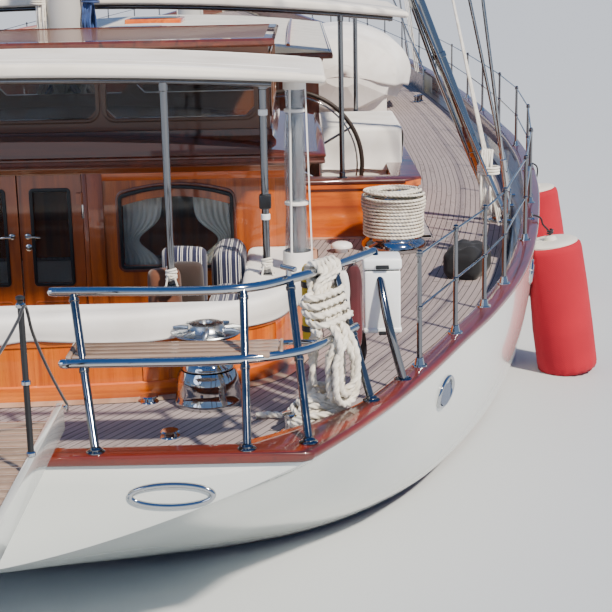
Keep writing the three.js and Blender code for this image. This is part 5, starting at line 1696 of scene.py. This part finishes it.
def makePrimaryWinch(name, side, at):
    parts = [turned([(310, 1202), (316, 1214), (312, 1250), (300, 1284), (272, 1304), (262, 1322), (262, 1700),
                     (240, 1720), (150, 1724)], at, 56),
             turned([(240, 1700), (262, 1706), (266, 1718), (258, 1730), (200, 1738), (120, 1742), (60, 1742)],
                    at, 56)]
    parts += [rod(onRing(at, 60, a, 1742), onRing(at, 240, a, 1736), 12, 8, edge=3) for a in
              (math.radians(d) for d in range(0, 360, 40))]
    parts += [collar(onRing(at, 290, a, 1238), 15, 14) for a in circle(8)]
    makePiece("primary_winch_chrome_" + name, parts, chrome, replaces=("primary_winch_" + name,))
    points = []
    for k in range(12 * 24 + 1):
        a = side * 2 * math.pi * k / 24
        slack = 9 * max(k / 24 - 7, 0)      # the upper turns were thrown on loose
        points.append(onRing(at, 278 + slack * (0.6 + 0.4 * math.sin(1.9 * a)), a, 1338 + 32 * k / 24))
    for k in range(1, 5 * 24 + 1):
        a = side * 2 * math.pi * k / 24
        points.append(onRing(at, 292 - 29 * k / 24 + 5 * math.sin(2.3 * a), a,
                             1722 + 42 * min(k / 16, 1) + 5 * math.sin(1.3 * a)))
    makeRope("sheet_on_winch_" + name, points, 30, rope)


makeHelm()
makeWinches()
print("helm and winches made")


# small parts that repeat are made once in nodes and set on a list of places
def repeatParts(name, places, shapes, material, size=1.0, body="root"):
    # shapes are rows of foot radius, head radius, height and lift
    tree = bpy.data.node_groups.new(name, "GeometryNodeTree")
    tree.interface.new_socket(name="Places", in_out="INPUT", socket_type="NodeSocketGeometry")
    scale = tree.interface.new_socket(name="Size", in_out="INPUT", socket_type="NodeSocketFloat")
    tree.interface.new_socket(name="Parts", in_out="OUTPUT", socket_type="NodeSocketGeometry")
    inlet = addNode(tree, "NodeGroupInput")
    unit = addNode(tree, "GeometryNodeJoinGeometry")
    for low, high, deep, lift in shapes:
        cone = addNode(tree, "GeometryNodeMeshCone", {"Vertices": 20, "Radius Bottom": low * modelScale,
                                                      "Radius Top": high * modelScale,
                                                      "Depth": deep * modelScale})
        put = addNode(tree, "GeometryNodeTransform", {"Geometry": cone,
                                                      "Translation": (0, 0, lift * modelScale)})
        tree.links.new(put.outputs[0], unit.inputs[0])
    laid = addNode(tree, "GeometryNodeInstanceOnPoints", {"Points": inlet.outputs["Places"], "Instance": unit,
                                                          "Scale": inlet.outputs["Size"]})
    real = addNode(tree, "GeometryNodeRealizeInstances", {0: laid})
    painted = addNode(tree, "GeometryNodeSetMaterial", {"Geometry": real, "Material": material})
    addNode(tree, "NodeGroupOutput", {"Parts": painted})
    mesh = bpy.data.meshes.new(name)
    mesh.from_pydata([spot(*p) for p in places], [], [])
    piece = newObject(name, mesh)
    modifier = piece.modifiers.new("repeat", "NODES")
    modifier.node_group = tree
    modifier[scale.identifier] = size
    return bakeModifiers(piece, name, material, body, sharp=40)


def ovalRing(centre, across, up, u, v, wire, sides=40):
    centre, u, v = Vector(centre), Vector(u), Vector(v)
    path = [centre + u * (across * math.cos(t)) + v * (up * math.sin(t)) for t in circle(sides)]
    return tube(path, wire, 10, True)


def sideAt(x, z):
    # half-breadth of the hull's side at a height
    rows = section(x, 60, 4)
    return float(np.interp(-z, [-r[1] for r in rows], [r[0] for r in rows]))


stanchionRows = {"x": [1400, 2100, 2760, 3430, 4970] + list(range(6700, 38600, 1950)), "wires": (380, 720),
                 "in": 60, "post": 18, "wire": 8}


def makeLifelines():
    row, feet = stanchionRows, []
    for name, side in (("port", 1), ("starboard", -1)):
        parts, wires = [], []
        for x in row["x"]:
            y, z = side * (breadth(x) - row["in"]), capTop(x)
            feet.append((x, y, z))
            parts += [rod((x, y, z), (x, y, z + 726), row["post"], 14, row["post"] * 0.8),
                      turned([(15, 722), (19, 730), (19, 744), (10, 752)], (x, y, z), 14)]
            parts += [turned([(17, h - 14), (22, h - 8), (22, h + 8), (17, h + 14)], (x, y, z), 14)
                      for h in row["wires"]]
        for h in row["wires"]:
            line = [(x, side * (breadth(x) - row["in"]), capTop(x) + h) for x in row["x"]]
            wires.append(tube(line, row["wire"], 8))
        makePiece("stanchions_" + name, parts, postSteelPaintedDark, replaces=("lifelines_" + name,))
        makePiece("lifeline_wires_" + name, wires, stainless)
    repeatParts("stanchion_bases", feet, [(52, 50, 9, 0), (34, 24, 46, 9)], chrome)


def makePulpit():
    def at(x, z):
        return Vector((x, max(breadth(x) - 90, 60), capTop(x) + z))
    parts, feet = [], []
    for h in (700, 360):
        half = [at(x, h) for x in (39200, 40400, 41600, 42500)]
        tip = [(42800, 0, capTop(42800) + h)]
        line = smoothPath(half + tip + [(p.x, -p.y, p.z) for p in reversed(half)], 60)
        parts.append(tube(line, 24, 12))
    for x in (39200, 41000, 42500):
        parts += both(rod(at(x, 0), at(x, 700), 20, 12))
        feet += [at(x, 0), Vector((x, -at(x, 0).y, at(x, 0).z))]
    makePiece("pulpit_rails", parts, chrome, replaces=("pulpit",))
    repeatParts("pulpit_bases", feet, [(50, 48, 9, 0), (34, 24, 40, 9)], chrome)


mastRows = {
    "main": {"x": 21500, "radius": 260, "top": 40500, "foot": 1200, "spreaders": (12000, 21500, 31000),
             "chain": (20650, 21500, 22350), "pivot": 21120, "nose": 60, "neck": 220, "boom": 170,
             "length": 12400},
    "mizzen": {"x": 6300, "radius": 190, "top": 31000, "foot": 1200, "spreaders": (11000, 20000),
               "chain": (5500, 6300, 6900), "pivot": 6000, "nose": 50, "neck": 150, "boom": 130,
               "length": 6700}}
boomZ = 4400
shroudIn = 265


def radiusAt(m, z):
    return m["radius"] * (1 - 0.45 * (z - m["foot"]) / (m["top"] - m["foot"]))


def makeRig():
    for name, m in mastRows.items():
        x, r, foot, top, head = m["x"], m["radius"], m["foot"], m["top"], m["top"] - 300
        deck, chainZ, headIn, middle = fair(x, "deck"), railZ(x) + 150, radiusAt(m, head) + 30, (x, 0, 0)
        spar = [turned([(r + 1, deck), (radiusAt(m, top), top), (radiusAt(m, top) * 0.6, top + 22)],
                       middle, 48)]
        bands = [turned([(r + 60, deck + 4), (r + 56, deck + 20), (r + 14, deck + 60), (r + 3, deck + 90)],
                        middle, 48)]
        for z in (*m["spreaders"], head):
            rz = radiusAt(m, z)
            bands.append(turned([(rz + 2, z - 90), (rz + 9, z - 84), (rz + 9, z + 84), (rz + 2, z + 90)],
                                middle, 40))
        for z in m["spreaders"]:
            # the cap shroud's distance out at this height gives the spreader's length
            wide = fair(x, "breadth") - shroudIn
            reach = wide + (headIn - fair(x, "breadth") + shroudIn) * (z - chainZ) / (head - chainZ) - 26
            spar += both(loft([[(x + w * math.cos(t), y, z + h * math.sin(t)) for t in circle(16)]
                               for y, w, h in ((0, 62, 40), (reach * 0.7, 50, 28), (reach, 34, 20))]))
            bands += both(rod((x, reach - 30, z), (x, reach + 6, z), 30, 16, edge=6))
        bands.append(block((m["pivot"] + m["nose"] + 1, -60, boomZ - 130), (x, 60, boomZ + 130), 12))
        makePiece(name + "_mast_spar", spar, sparGrey, replaces=(name + "_mast",))
        makePiece(name + "_mast_bands", bands, brushed)
        heights = [head, m["spreaders"][-1] - 200, m["spreaders"][0] - 200]
        stays, screws, bars, halyards = [], [], [], []
        for z in heights:
            rz = radiusAt(m, z - 40) + 1.2
            screws.append(turned([(rz, z - 40), (rz + 50, z - 34), (rz + 50, z + 34), (rz, z + 40)], middle,
                                 36))
        for side in (1, -1):
            for i, cx in enumerate(m["chain"]):
                z = heights[(2, 0, 1)[i]]
                low = Vector((cx, side * (breadth(cx) - shroudIn), chainZ))
                high = Vector((x + (cx - x) * 0.02, side * (radiusAt(m, z) + 30), z))
                aim = (high - low).normalized()
                pin, across = low - aim * 40, Vector((0, 45, 0))
                stays.append(rod(low + aim * 500, high, 17, 12))
                screws += [rod(pin, low + aim * 120, 14, 10),
                           rod(low + aim * 100, low + aim * 420, 30, 16, edge=8),
                           rod(low + aim * 400, low + aim * 620, 21, 12, 16),
                           rod(pin - across, pin + across, 16, 12, edge=4)]
                bars.append(block((cx - 40, low.y - 14, fair(cx, "deck") + 1),
                                  (cx + 40, low.y + 14, chainZ + 30), 8))
            rings = []
            for cx in (m["chain"][0] - 60, m["chain"][1], m["chain"][2] + 60):
                low, high, y = fair(cx, "deck") + 1, railZ(cx) + 40, breadth(cx) - shroudIn
                rings.append([(cx, side * (y + d), h)
                              for d, h in ((-13, low), (13, low), (13, high), (-13, high))])
            bars.append(loft(rings))
            for k in range(3):
                cx = m["chain"][0] + 120 + 210 * k
                halyards.append(rod((cx, side * (breadth(cx) - 330), railZ(cx) + 60),
                                    (x - 120 + 60 * k, side * (radiusAt(m, head) + 60),
                                     m["spreaders"][-1] - 260 - 500 * k), 9, 8))
            for a in (60, 120):
                c, s, rz = math.cos(math.radians(a)), math.sin(math.radians(a)), radiusAt(m, head)
                halyards.append(rod((x + (r + 22) * c, side * (r + 22) * s, foot + 1000),
                                    (x + rz * c * 1.25, side * rz * s * 1.25, head - 300), 9, 8))
        makePiece(name + "_shroud_wires", stays, stainless, replaces=(name + "_shrouds",))
        makePiece(name + "_turnbuckles", screws, chrome)
        makePiece(name + "_chainplates", bars, brushed)
        makePiece(name + "_halyards", halyards, thinLine)
        winches = []
        for a in (100, 180, 260):
            c, s = math.cos(math.radians(a)), math.sin(math.radians(a))
            winches += [turned([(85, 0), (85, 20), (62, 40), (56, 90), (70, 110), (76, 120), (60, 134),
                                (20, 138)], (x + (r - 12) * c, (r - 12) * s, foot + 900), 28, (c, s, 0))]
        makePiece(name + "_mast_winches", winches, chrome)
        makeBoom(name, m)


def makeBoom(name, m):
    body, start, r = name + "_boom", m["pivot"] - m["neck"], m["boom"]
    end = start - m["length"]
    parts = [rod((m["pivot"], 0, boomZ - 110), (m["pivot"], 0, boomZ + 110), m["nose"], 24, edge=8),
             rod((m["pivot"], 0, boomZ), (start - 20, 0, boomZ), m["nose"] - 6, 16),
             rod((start + 4, 0, boomZ), (start - 60, 0, boomZ), r + 8, 32, edge=10),
             rod((end + 60, 0, boomZ), (end - 4, 0, boomZ), r + 8, 32, edge=10)]
    makePiece(name + "_boom_fittings", parts, brushed, body)
    makePiece(name + "_boom_spar", [rod((start, 0, boomZ), (end, 0, boomZ), r, 32)], sparGrey, body,
              (name + "_boom",))
    sizes = ((0.02, 0.12, 0.5, 0.9, 0.98), (0.55, 1.3, 1.15, 0.75, 0.35))
    rings, ties, steps = [], [], 120
    fold = wrinkle(len(name), 1500)
    for i in range(steps + 1):
        share = 0.02 + 0.96 * i / steps
        size = float(np.interp(share, *sizes))
        x, middle = start - m["length"] * share, boomZ + r * (0.8 + size * 1.2)
        pinch = 1 - 0.09 * math.exp(-((i % 12 - 6) / 0.9) ** 2)
        ring = []
        for k, t in enumerate(circle(28)):
            soft = 1 + 0.03 * fold(x + 300 * k) + 0.022 * math.sin(9 * t + x / 340) - 0.03
            ring.append((x, r * size * math.cos(t) * soft * pinch,
                         boomZ + r * (0.8 + size * 1.2 + size * 1.4 * math.sin(t) * soft * pinch)))
        rings.append(ring)
        if i % 12 == 6:
            ties.append([(x, 1.03 * y, middle + 1.03 * (z - boomZ - r * (0.8 + size * 1.2)))
                         for _, y, z in ring])
    makePadded(name + "_sail_bundle", loft(rings), sailCloth, body=body)
    makePiece(name + "_sail_ties", [loft([[(x + dx, y, z) for x, y, z in t] for dx in (-22, 22)])
                                    for t in ties], darkCloth, body)


def makeDavit():
    line = [(7300, -4250, 1204), (7300, -4000, 1900), (7300, -3620, 2900), (7300, -3200, 3900),
            (7300, -2900, 4300), (7300, -2400, 4550), (7300, -1900, 4600)]
    parts = [tube(smoothPath(line, 60), 60, 24),
             turned([(140, 1202), (140, 1216), (130, 1228), (80, 1240), (70, 1290)], (7300, -4255, 0), 36),
             tube([(7392, -4210, 1206), (7380, -3600, 2700), (7340, -3180, 3860)], 22, 12)]
    for y, z in ((-3990, 1925), (-3610, 2925), (-3190, 3915)):
        parts.append(turned([(61, -30), (70, -24), (70, 24), (61, 30)], (7300, y, z), 28, (0, 0.37, 0.93)))
    makePiece("davit_arm", parts, stainless, replaces=("davit",))


fenderRows = {"aft": (5870, -4630, 285), "forward": (8950, -4985, 255)}


def makeFenders():
    tilt, middleZ = math.radians(-9), 635
    for name, (x, y, r) in fenderRows.items():

        def lean(p):
            dy, dz = p[1] - y, p[2]
            return Vector((p[0], y + dy * math.cos(tilt) - dz * math.sin(tilt),
                           middleZ + dy * math.sin(tilt) + dz * math.cos(tilt)))

        def press(p):
            # the hull presses a flat into the side that touches it
            q = lean(p)
            return Vector((q.x, min(q.y, -sideAt(q.x, q.z) - 4), q.z)) if q.z > 60 else q

        profile = [(1, -600), (40, -604), (r * 0.45, -612), (r * 0.6, -640), (r * 0.66, -652), (r * 0.72, -636),
                   (r - 26, -628), (r - 4, -590), (r, -540), (r + 2, -200), (r, 200), (r, 560), (r - 6, 600),
                   (r - 34, 622)]
        rings = []
        for radius, z in profile:
            ring = []
            for t in circle(64):
                pucker = 7 * math.sin(18 * t) * math.exp(-((z + 640) / 60) ** 2) + 4 * math.sin(3 * t + z / 200)
                ring.append(press(onRing((x, y), radius + pucker, t, z)))
            rings.append(ring)
        sock = makePiece("fender_sock_" + name, [loft(rings)], fenderRed,
                         replaces=("fender_" + name,), sharp=80)
        points, faces = turned([(r - 36, 600), (r - 34, 634), (r - 60, 650), (r * 0.5, 655), (60, 656),
                                (50, 690), (20, 700)], (x, y, 0), 48)
        makePiece("fender_end_" + name, [([press(p) for p in points], faces)], roofWhite,
                  sharp=50)
        eye, rail = lean((x, y, 690)), Vector((x, -breadth(x) + 30, capTop(x) + 12))
        made = [rod(rail - upBy(14), rail + upBy(4), 34, 20, 26, 3),
                ovalRing(rail + upBy(22), 22, 26, (1, 0, 0), (0, 0, 1), 7, 24)]
        makePiece("fender_padeye_" + name, made, chrome)
        edge = Vector((x, -breadth(x) - 46, capTop(x) - 8))
        line = [rail + upBy(22), rail + Vector((0, -30, 24)), edge + Vector((0, -14, 12)),
                edge + Vector((0, -30, -40)), eye.lerp(edge, 0.3) + Vector((0, -20, 0)), eye + upBy(16)]
        line += [eye + Vector(onRing((0, 0), 26, t, 20 + 7 * t / 2)) for t in (k * 0.5 for k in range(26))]
        makeRope("fender_lanyard_" + name, line, 18, blackLine, laid=False)


def makeSternGear():
    # box for the throwing line, clipped to the rail
    box = [block((1292, -2788, 1672), (1498, -2562, 2046), 14, 3),
           block((1284, -2796, 2052), (1506, -2554, 2126), 18, 3),
           block((1286, -2794, 1650), (1504, -2556, 1684), 10, 2)]
    makePiece("line_box_body", box, whitePlastic, replaces=("buoy_box",), sharp=50)
    dark = [block((1270, -2716, 2060), (1286, -2634, 2086), 5),
            block((1300, -2780, 2044), (1490, -2570, 2054), 0),
            block((1276, -2700, 1640), (1290, -2650, 1664), 5)]
    makePiece("line_box_dark", dark, blackPlastic)
    # a yellow float and its bracket
    marker = [turned([(24, 1652), (46, 1668), (48, 1690), (48, 2120), (44, 2146), (28, 2166), (10, 2170)],
                     (986, -2224, 0), 32)]
    makePiece("marker_float", marker, yellowPlastic)
    straps = [turned([(49, z), (53, z + 4), (53, z + 32), (49, z + 36)], (986, -2224, 0), 28)
              for z in (1760, 2030)]
    straps.append(block((925, -2290, 2096), (960, -2235, 2124), 5))
    makePiece("marker_float_straps", straps, blackPlastic)
    for name, low, high, stuff, seed in (
            ("rail_bag_burgundy", (1196, -2530, 1566), (1290, -2460, 2100), burgundy, 3),
            ("rail_bag_grey", (1360, -2560, 1430), (1450, -2490, 1640), darkCloth, 4),
            ("rail_bag_white", (1100, -2450, 1700), (1180, -2390, 2090), whiteCanvas, 6)):
        bag = makePiece(name, [pillow(low, high, 14, 10, seed, 14)], stuff, sharp=80)
    # a black sail bag on the side deck, and a coil hung at the foot of the shrouds
    x, y = 4810, -3616
    z = fair(x, "deck") + 3
    sack = makePiece("deck_sail_bag", [moved(pillow((x - 235, y - 165, z), (x + 235, y + 165, z + 250), 30, 34,
                                                    8, 26), (0, 0, 0), -24, (x, y, 0))], blackCanvas,
                     sharp=80)
    x = 5640
    hangingCoil("shroud_coil", (x, -breadth(x) + 430, railZ(x) + 760), (250, 620), 5, 24, thinLine,
                aim=(1, -0.2))
    hangers = [rod((x, y, z), (x, y, 2116), 8, 8) for x, y, z in ((1243, -2495, 2080), (1140, -2430, 2070),
                                                                  (1405, -2600, 1630))]
    hangers.append(rod((1405, -2525, 1630), (1405, -2600, 1640), 8, 8))
    makePiece("rail_bag_hooks", hangers, stainless)


def makeDeckGear():
    vent = [turned([(60, 1202), (60, 1240), (102, 1246), (103, 1262), (92, 1282), (60, 1296), (4, 1302)],
                   (5900, y, 0), 36) for y in (-2550, 2550)]
    makePiece("deck_vents", vent, whitePlastic)
    popups = [(1394, -1189, 1201), (714, -1382, 1201), (714, 1382, 1201), (1394, 1189, 1201),
              (20500, -3600, 1264), (20500, 3600, 1264)]
    repeatParts("pop_up_cleats", popups, [(62, 58, 7, 0), (40, 34, 26, 7), (58, 50, 9, 33)], chrome)
    parts = []
    for x in (860, 19200, 35500):
        for side in (1, -1):
            y, z = side * (breadth(x) - 560 if x < 35000 else 900), fair(x, "deck")
            for dx in (-110, 110):
                parts.append(turned([(66, 2), (66, 12), (44, 22), (38, 60), (40, 92), (58, 104), (58, 118),
                                     (40, 126), (8, 128)], (x + dx, y + side * dx * 0.4, z), 32))
            parts.append(moved(block((x - 190, y - 62, z + 1), (x + 190, y + 62, z + 9), 4), (0, 0, 0),
                               side * 22, (x, y, z)))
            parts.append(rod((x - 100, y - side * 40, z + 74), (x + 100, y + side * 40, z + 74), 17, 16))
    makePiece("mooring_bollards", parts, chrome)
    rims, dark = [], []
    for side in (1, -1):
        rims.append(ovalRing((-17, side * 1450, 1120), 226, 62, (0, 1, 0), (0, 0, 1), 17, 56))
        # the stern fairlead is a wide oval, filled by a flat navy disc of painted shade in place of an opening
        points, faces = turned([(1, 0), (60, 1)], (-13, side * 1450, 1120), 40, (-1, 0, 0))
        dark.append(([(p[0], side * 1450 + (p[1] - side * 1450) * 3.6, p[2]) for p in points], faces))
        for x, below, across, up in ((1750, 240, 112, 86), (5100, 260, 130, 86)):
            z = railZ(x) - below
            path = []
            for t in circle(48):
                px, pz = x + (across + 10) * math.cos(t), z + (up + 10) * math.sin(t)
                path.append((px, side * (sideAt(px, pz) + 5), pz))
            rims.append(tube(path, 16, 10, True))
            middle = Vector((x, side * (sideAt(x, z) + 5), z))
            ahead = Vector((60, side * (sideAt(x + 60, z) - sideAt(x, z)), 0)).normalized()
            # a flat navy disc on the hull inside each rim: painted shade in place of the opening
            disc = [[middle + ahead * ((across + 4) * math.cos(t))
                     + Vector((0, side * d, (up + 4) * math.sin(t))) for t in circle(32)] for d in (0, 2)]
            points, faces = loft(disc, capped=False)
            dark.append((points, [tuple(range(32)), tuple(range(63, 31, -1))] + faces))
    makePiece("hawse_rims", rims, chrome)
    makePiece("hawse_openings_painted_shade", dark, hawsePaintedShade)


def makeGangway():
    top = 1460
    beams = [block((-3800, y0, top - 60), (300, y1, top + 100), 6) for y0, y1 in ((-840, -800), (0, 40))]
    beams += [block((-3790, -800, top - 60), (290, 0, top - 26), 4),
              block((-30, -700, 1364), (100, -100, top - 50), 6)]
    makePiece("gangway_beams", beams, hullWhite, "gangway", ("gangway",))
    treads = [block((-3786 + k * 102, -796, top - 26), (-3786 + k * 102 + 92, -4, top), 5) for k in range(40)]
    makePiece("gangway_treads", treads, seatTeak, "gangway")
    posts, eyes = [], []
    for x in (-3600, -2080, -560):
        posts.append(rod((x, -820, top + 96), (x, -820, top + 900), 16, 16, edge=3))
        eyes += [turned([(17, 0), (24, 4), (24, 20), (17, 26)], (x, -820, top + h), 16)
                 for h in (100, 860, 470)]
        posts.append(turned([(16, 900), (22, 904), (22, 916), (10, 922)], (x, -820, top), 16))
    makePiece("gangway_posts", posts, blackPlastic, "gangway")
    makePiece("gangway_post_collars", eyes, chrome, "gangway")
    makePiece("gangway_shackle", [ovalRing((278, -862, top + 78), 16, 22, (1, 0, 0), (0, 0, 1), 6, 20),
                                  rod((278, -842, top + 78), (278, -866, top + 78), 8, 10)], chrome, "gangway")
    line = [(-3600, -842, top + 868)]
    for a, b in ((-3600, -2080), (-2080, -560)):
        line += [(a + (b - a) * k / 8, -842, top + 868 - 60 * math.sin(math.pi * k / 8)) for k in range(1, 9)]
    line += [(-560 + 838 * k / 8, -842 - 2.5 * k, top + 868 - 770 * (k / 8) ** 0.8) for k in range(1, 9)]
    makeRope("gangway_line", line, 16, blackLine, laid=False, body="gangway")


makeLifelines()
makePulpit()
makeRig()
makeDavit()
makeFenders()
makeSternGear()
makeDeckGear()
makeGangway()
print("rig, fenders and deck gear made")


# main house, headsail, covered boat and the parts under water
def sheetArea(made):
    points, total = [Vector(p) for p in made[0]], 0.0
    for f in made[1]:
        for k in range(1, len(f) - 1):
            total += (points[f[k]] - points[f[0]]).cross(points[f[k + 1]] - points[f[0]]).length / 2
    return total * modelScale ** 2


def makeMainHouse():
    paint(main_house_walls=brownZ, main_house_glass=darkGlass, main_house_roof=roofWhite,
          main_house_door=brownZ)
    z0, z1 = 1880, 2500
    frames, rails = [facing(-1900, -300, z0, z1, 9686, 13, 30, 40, inset=6)], []
    frames += [facing(y, y + 1200, z0, z1, 17001, 13, 30, 40, inset=6) for y in (-1900, -600, 700)]
    for side in (1, -1):
        for x in range(10150, 16500, 1300):
            frames.append(facing(x, x + 1000, z0, z1, sideFace(side, 2400, 13), 13, 30, 40, 0, "y", 6))
    makePiece("main_window_frames", frames, taupe)
    wall = [(9698, 2402), (9698, -2402), (17002, -2402), (17002, 2402)]
    edge = [(9560, 2560), (9560, -2560), (17160, -2560), (17160, 2560)]
    parts = [moulding(wall, [(0, 2660), (14, 2664), (50, 2710), (64, 2744), (0, 2748)], True),
             moulding(edge, [(-2, 2752), (14, 2756), (20, 2790), (12, 2824), (-30, 2836), (-40, 2752)], True)]
    makePiece("main_house_mouldings", parts, brownX, sharp=30)
    low = ([(0, 1204), (22, 1206), (22, 1270), (8, 1290), (0, 1292)],
           [(0, 1800), (26, 1808), (26, 1832), (8, 1850), (0, 1852)])
    # each side's run stops at the doorway in the aft wall
    runs = ([(9698, -1300), (9698, -2402), (17002, -2402), (17002, 0)],
            [(17002, 0), (17002, 2402), (9698, 2402), (9698, 1300)])
    plinth = [moulding(run, shape) for run in runs for shape in low]
    makePiece("main_house_plinth", plinth, orangeX, sharp=30)
    feet = []
    for side in (1, -1):
        y = side * 2050
        line = [(x, y, 2895 + 40 * (1 - ((x - 13300) / 3500) ** 2)) for x in range(9900, 16800, 200)]
        rails.append(tube(line, 24, 14))
        feet += [(x, y, 2832) for x in range(10000, 16800, 850)]
    makePiece("main_roof_handrails", rails, orangeX)
    repeatParts("handrail_feet", feet, [(34, 22, 60, 0), (18, 18, 30, 50)], orangeX)
    hatches, z = [], 3000
    for x in (11600, 14600):
        corners = ((x - 420, -420), (x + 420, -420), (x + 420, 420), (x - 420, 420))
        hatches.append(easeEdges(loft([[(*p, h) for p in corners] for h in (z - 90, z + 60)]), 18, 50, 3))
        light = block((x - 350, -350, z + 56), (x + 350, 350, z + 70), 6)
        makePiece("roof_hatch_glass_%d" % (x // 100), [light], darkGlass)
    makePiece("roof_hatches", hatches, orangeX)
    door = [facing(430, 970, 1850, 2480, 9690, 10, 26, 16, inset=8),
            facing(416, 984, 1290, 1740, 9692, 9, 16, 16)]
    makePiece("main_door_frames", door, brownY, "main_house_door")
    makePiece("main_door_pane", [pane(430, 970, 1850, 2480, 9722, 8, 14)], glass, "main_house_door")
    lever = [collar((9712, 380, 1790), 27, 14, (-1, 0, 0)), rod((9700, 380, 1790), (9648, 380, 1790), 9, 12),
             rod((9648, 380, 1790), (9648, 490, 1786), 10, 12, 6)]
    # hinge barrels
    lever += [rod((9688, 1100, z - 4), (9688, 1100, z + 108), 11.2, 14, edge=3) for z in (1392, 2358)]
    makePiece("main_door_fittings", lever, chrome, "main_house_door")


def makeJib():
    foot, head = Vector((41600, 0, 2060)), Vector((21830, 0, 38000))
    along = (head - foot).normalized()
    up, length = Vector((-along.z, 0, along.x)), (head - foot).length
    rings, steps = [], 260
    for i in range(steps + 1):
        share = 0.033 + 0.967 * i / steps
        r = float(np.interp(share, (0.033, 0.5, 1), (130, 150, 50))) * (0.35 if i in (0, steps) else 1)
        ring = []
        for t in circle(30):
            turn = (t / (2 * math.pi) - share * 26) % 1
            out = Vector((0, 1, 0)) * math.cos(t) + up * math.sin(t)
            ring.append(foot + along * (length * share) + out * r * (0.94 + 0.07 * turn))
        rings.append(ring)
    makePadded("headsail_roll", loft(rings), sailCloth, ("furled_jib",))
    drum = [turned([(40, 0), (40, 300), (110, 320), (120, 340), (60, 360), (60, 480), (120, 500), (120, 520),
                    (46, 540), (40, 1350)], foot, 32, along)]
    makePiece("furling_drum", drum, stainless)


def makeBoatCover():
    paint(deck_boat_cover=whiteCanvas)
    xs = [17286] + [17300 + 3300 * i / 60 for i in range(61)] + [20614]
    hang, sag = wrinkle(31, 800), wrinkle(7, 420)
    points = []
    cols = 48
    for i, x in enumerate(xs):
        s = float(np.interp(x, (17300, 17500, 18200, 19600, 20400, 20600), (0.25, 0.75, 1, 1, 0.7, 0.2)))
        s = s * (0.1 if i in (0, len(xs) - 1) else 1)
        a, b = 1250 * s + 16, 800 * s + 16
        for j in range(cols + 1):
            t = math.radians(-14 + 208 * j / cols)
            soft = 1 + 0.006 * sag(x + 900 * t)
            y, z = -2900 + a * math.cos(t) * soft, 1900 + b * math.sin(t) * soft
            if j in (0, cols) and s > 0.5:
                z -= 60 + 18 * hang(x)
            points.append((x, y, z))
    made = points, gridFaces(len(xs) - 1, cols)
    area = sheetArea(made)
    cover = makeSheet("boat_cover_cloth", made, whiteCanvas, 1.4, levels=1)
    chocks = [block((x - 60, -3700, 1204), (x + 60, -2100, 1330), 10) for x in (17900, 19900)]
    makePiece("boat_chocks", chocks, orangeY)


def makeLowerHull():
    # the skin is cut at the boot line: enamel above, antifouling below
    skin = bpy.data.objects["hull_skin"]
    for below in (True, False):
        bm = bmesh.new()
        bm.from_mesh(skin.data)
        cut = bmesh.ops.bisect_plane(bm, geom=bm.verts[:] + bm.edges[:] + bm.faces[:], plane_co=(0, 0, 0.03),
                                     plane_no=(0, 0, 1), clear_outer=below, clear_inner=not below)
        rim = [e for e in cut["geom_cut"] if isinstance(e, bmesh.types.BMEdge)]
        bmesh.ops.bridge_loops(bm, edges=[e for e in bm.edges if e.is_boundary and e in rim])
        bmesh.ops.recalc_face_normals(bm, faces=bm.faces[:])
        if below:
            mesh = bpy.data.meshes.new("hull_bottom_skin")
            bm.to_mesh(mesh)
            mesh.shade_smooth()
            placePiece("hull_bottom_skin", mesh, bootBrown)
        else:
            bm.to_mesh(skin.data)
        bm.free()
    paint(ballast_keel=bootBrown, rudder=bootBrown, propeller=bronze)


def makeForeHatch():
    paint(fore_hatch_lid=orangeX)
    z = fair(28000, "deck") + 90
    makePiece("fore_hatch_frame", [facingFlat(27000, 28000, -500, 500, z, 14)], brownX, "fore_hatch_lid")
    makePiece("fore_hatch_pane", [block((27120, -380, z - 2), (27880, 380, z + 8), 4)], darkGlass,
              "fore_hatch_lid")
    knobs = [rod((27100 + 800 * k, s * 300, z + 14), (27100 + 800 * k, s * 300, z + 44), 20, 16, edge=6)
             for k in (0, 1) for s in (1, -1)]
    makePiece("fore_hatch_knobs", knobs, chrome, "fore_hatch_lid")


def facingFlat(x0, x1, y0, y1, z, thick):
    outer = [(x, y, z) for x, y in windowOutline(x0 - 6, x1 + 6, y0 - 6, y1 + 6, 30)]
    inner = [(x, y, z) for x, y in windowOutline(x0 + 110, x1 - 110, y0 + 110, y1 - 110, 30)]
    return easeEdges(plate(outer, (0, 0, thick), inner), 4, 50, 2)


makeMainHouse()
makeJib()
makeBoatCover()
makeLowerHull()
makeForeHatch()
print("main house, headsail and lower hull made")
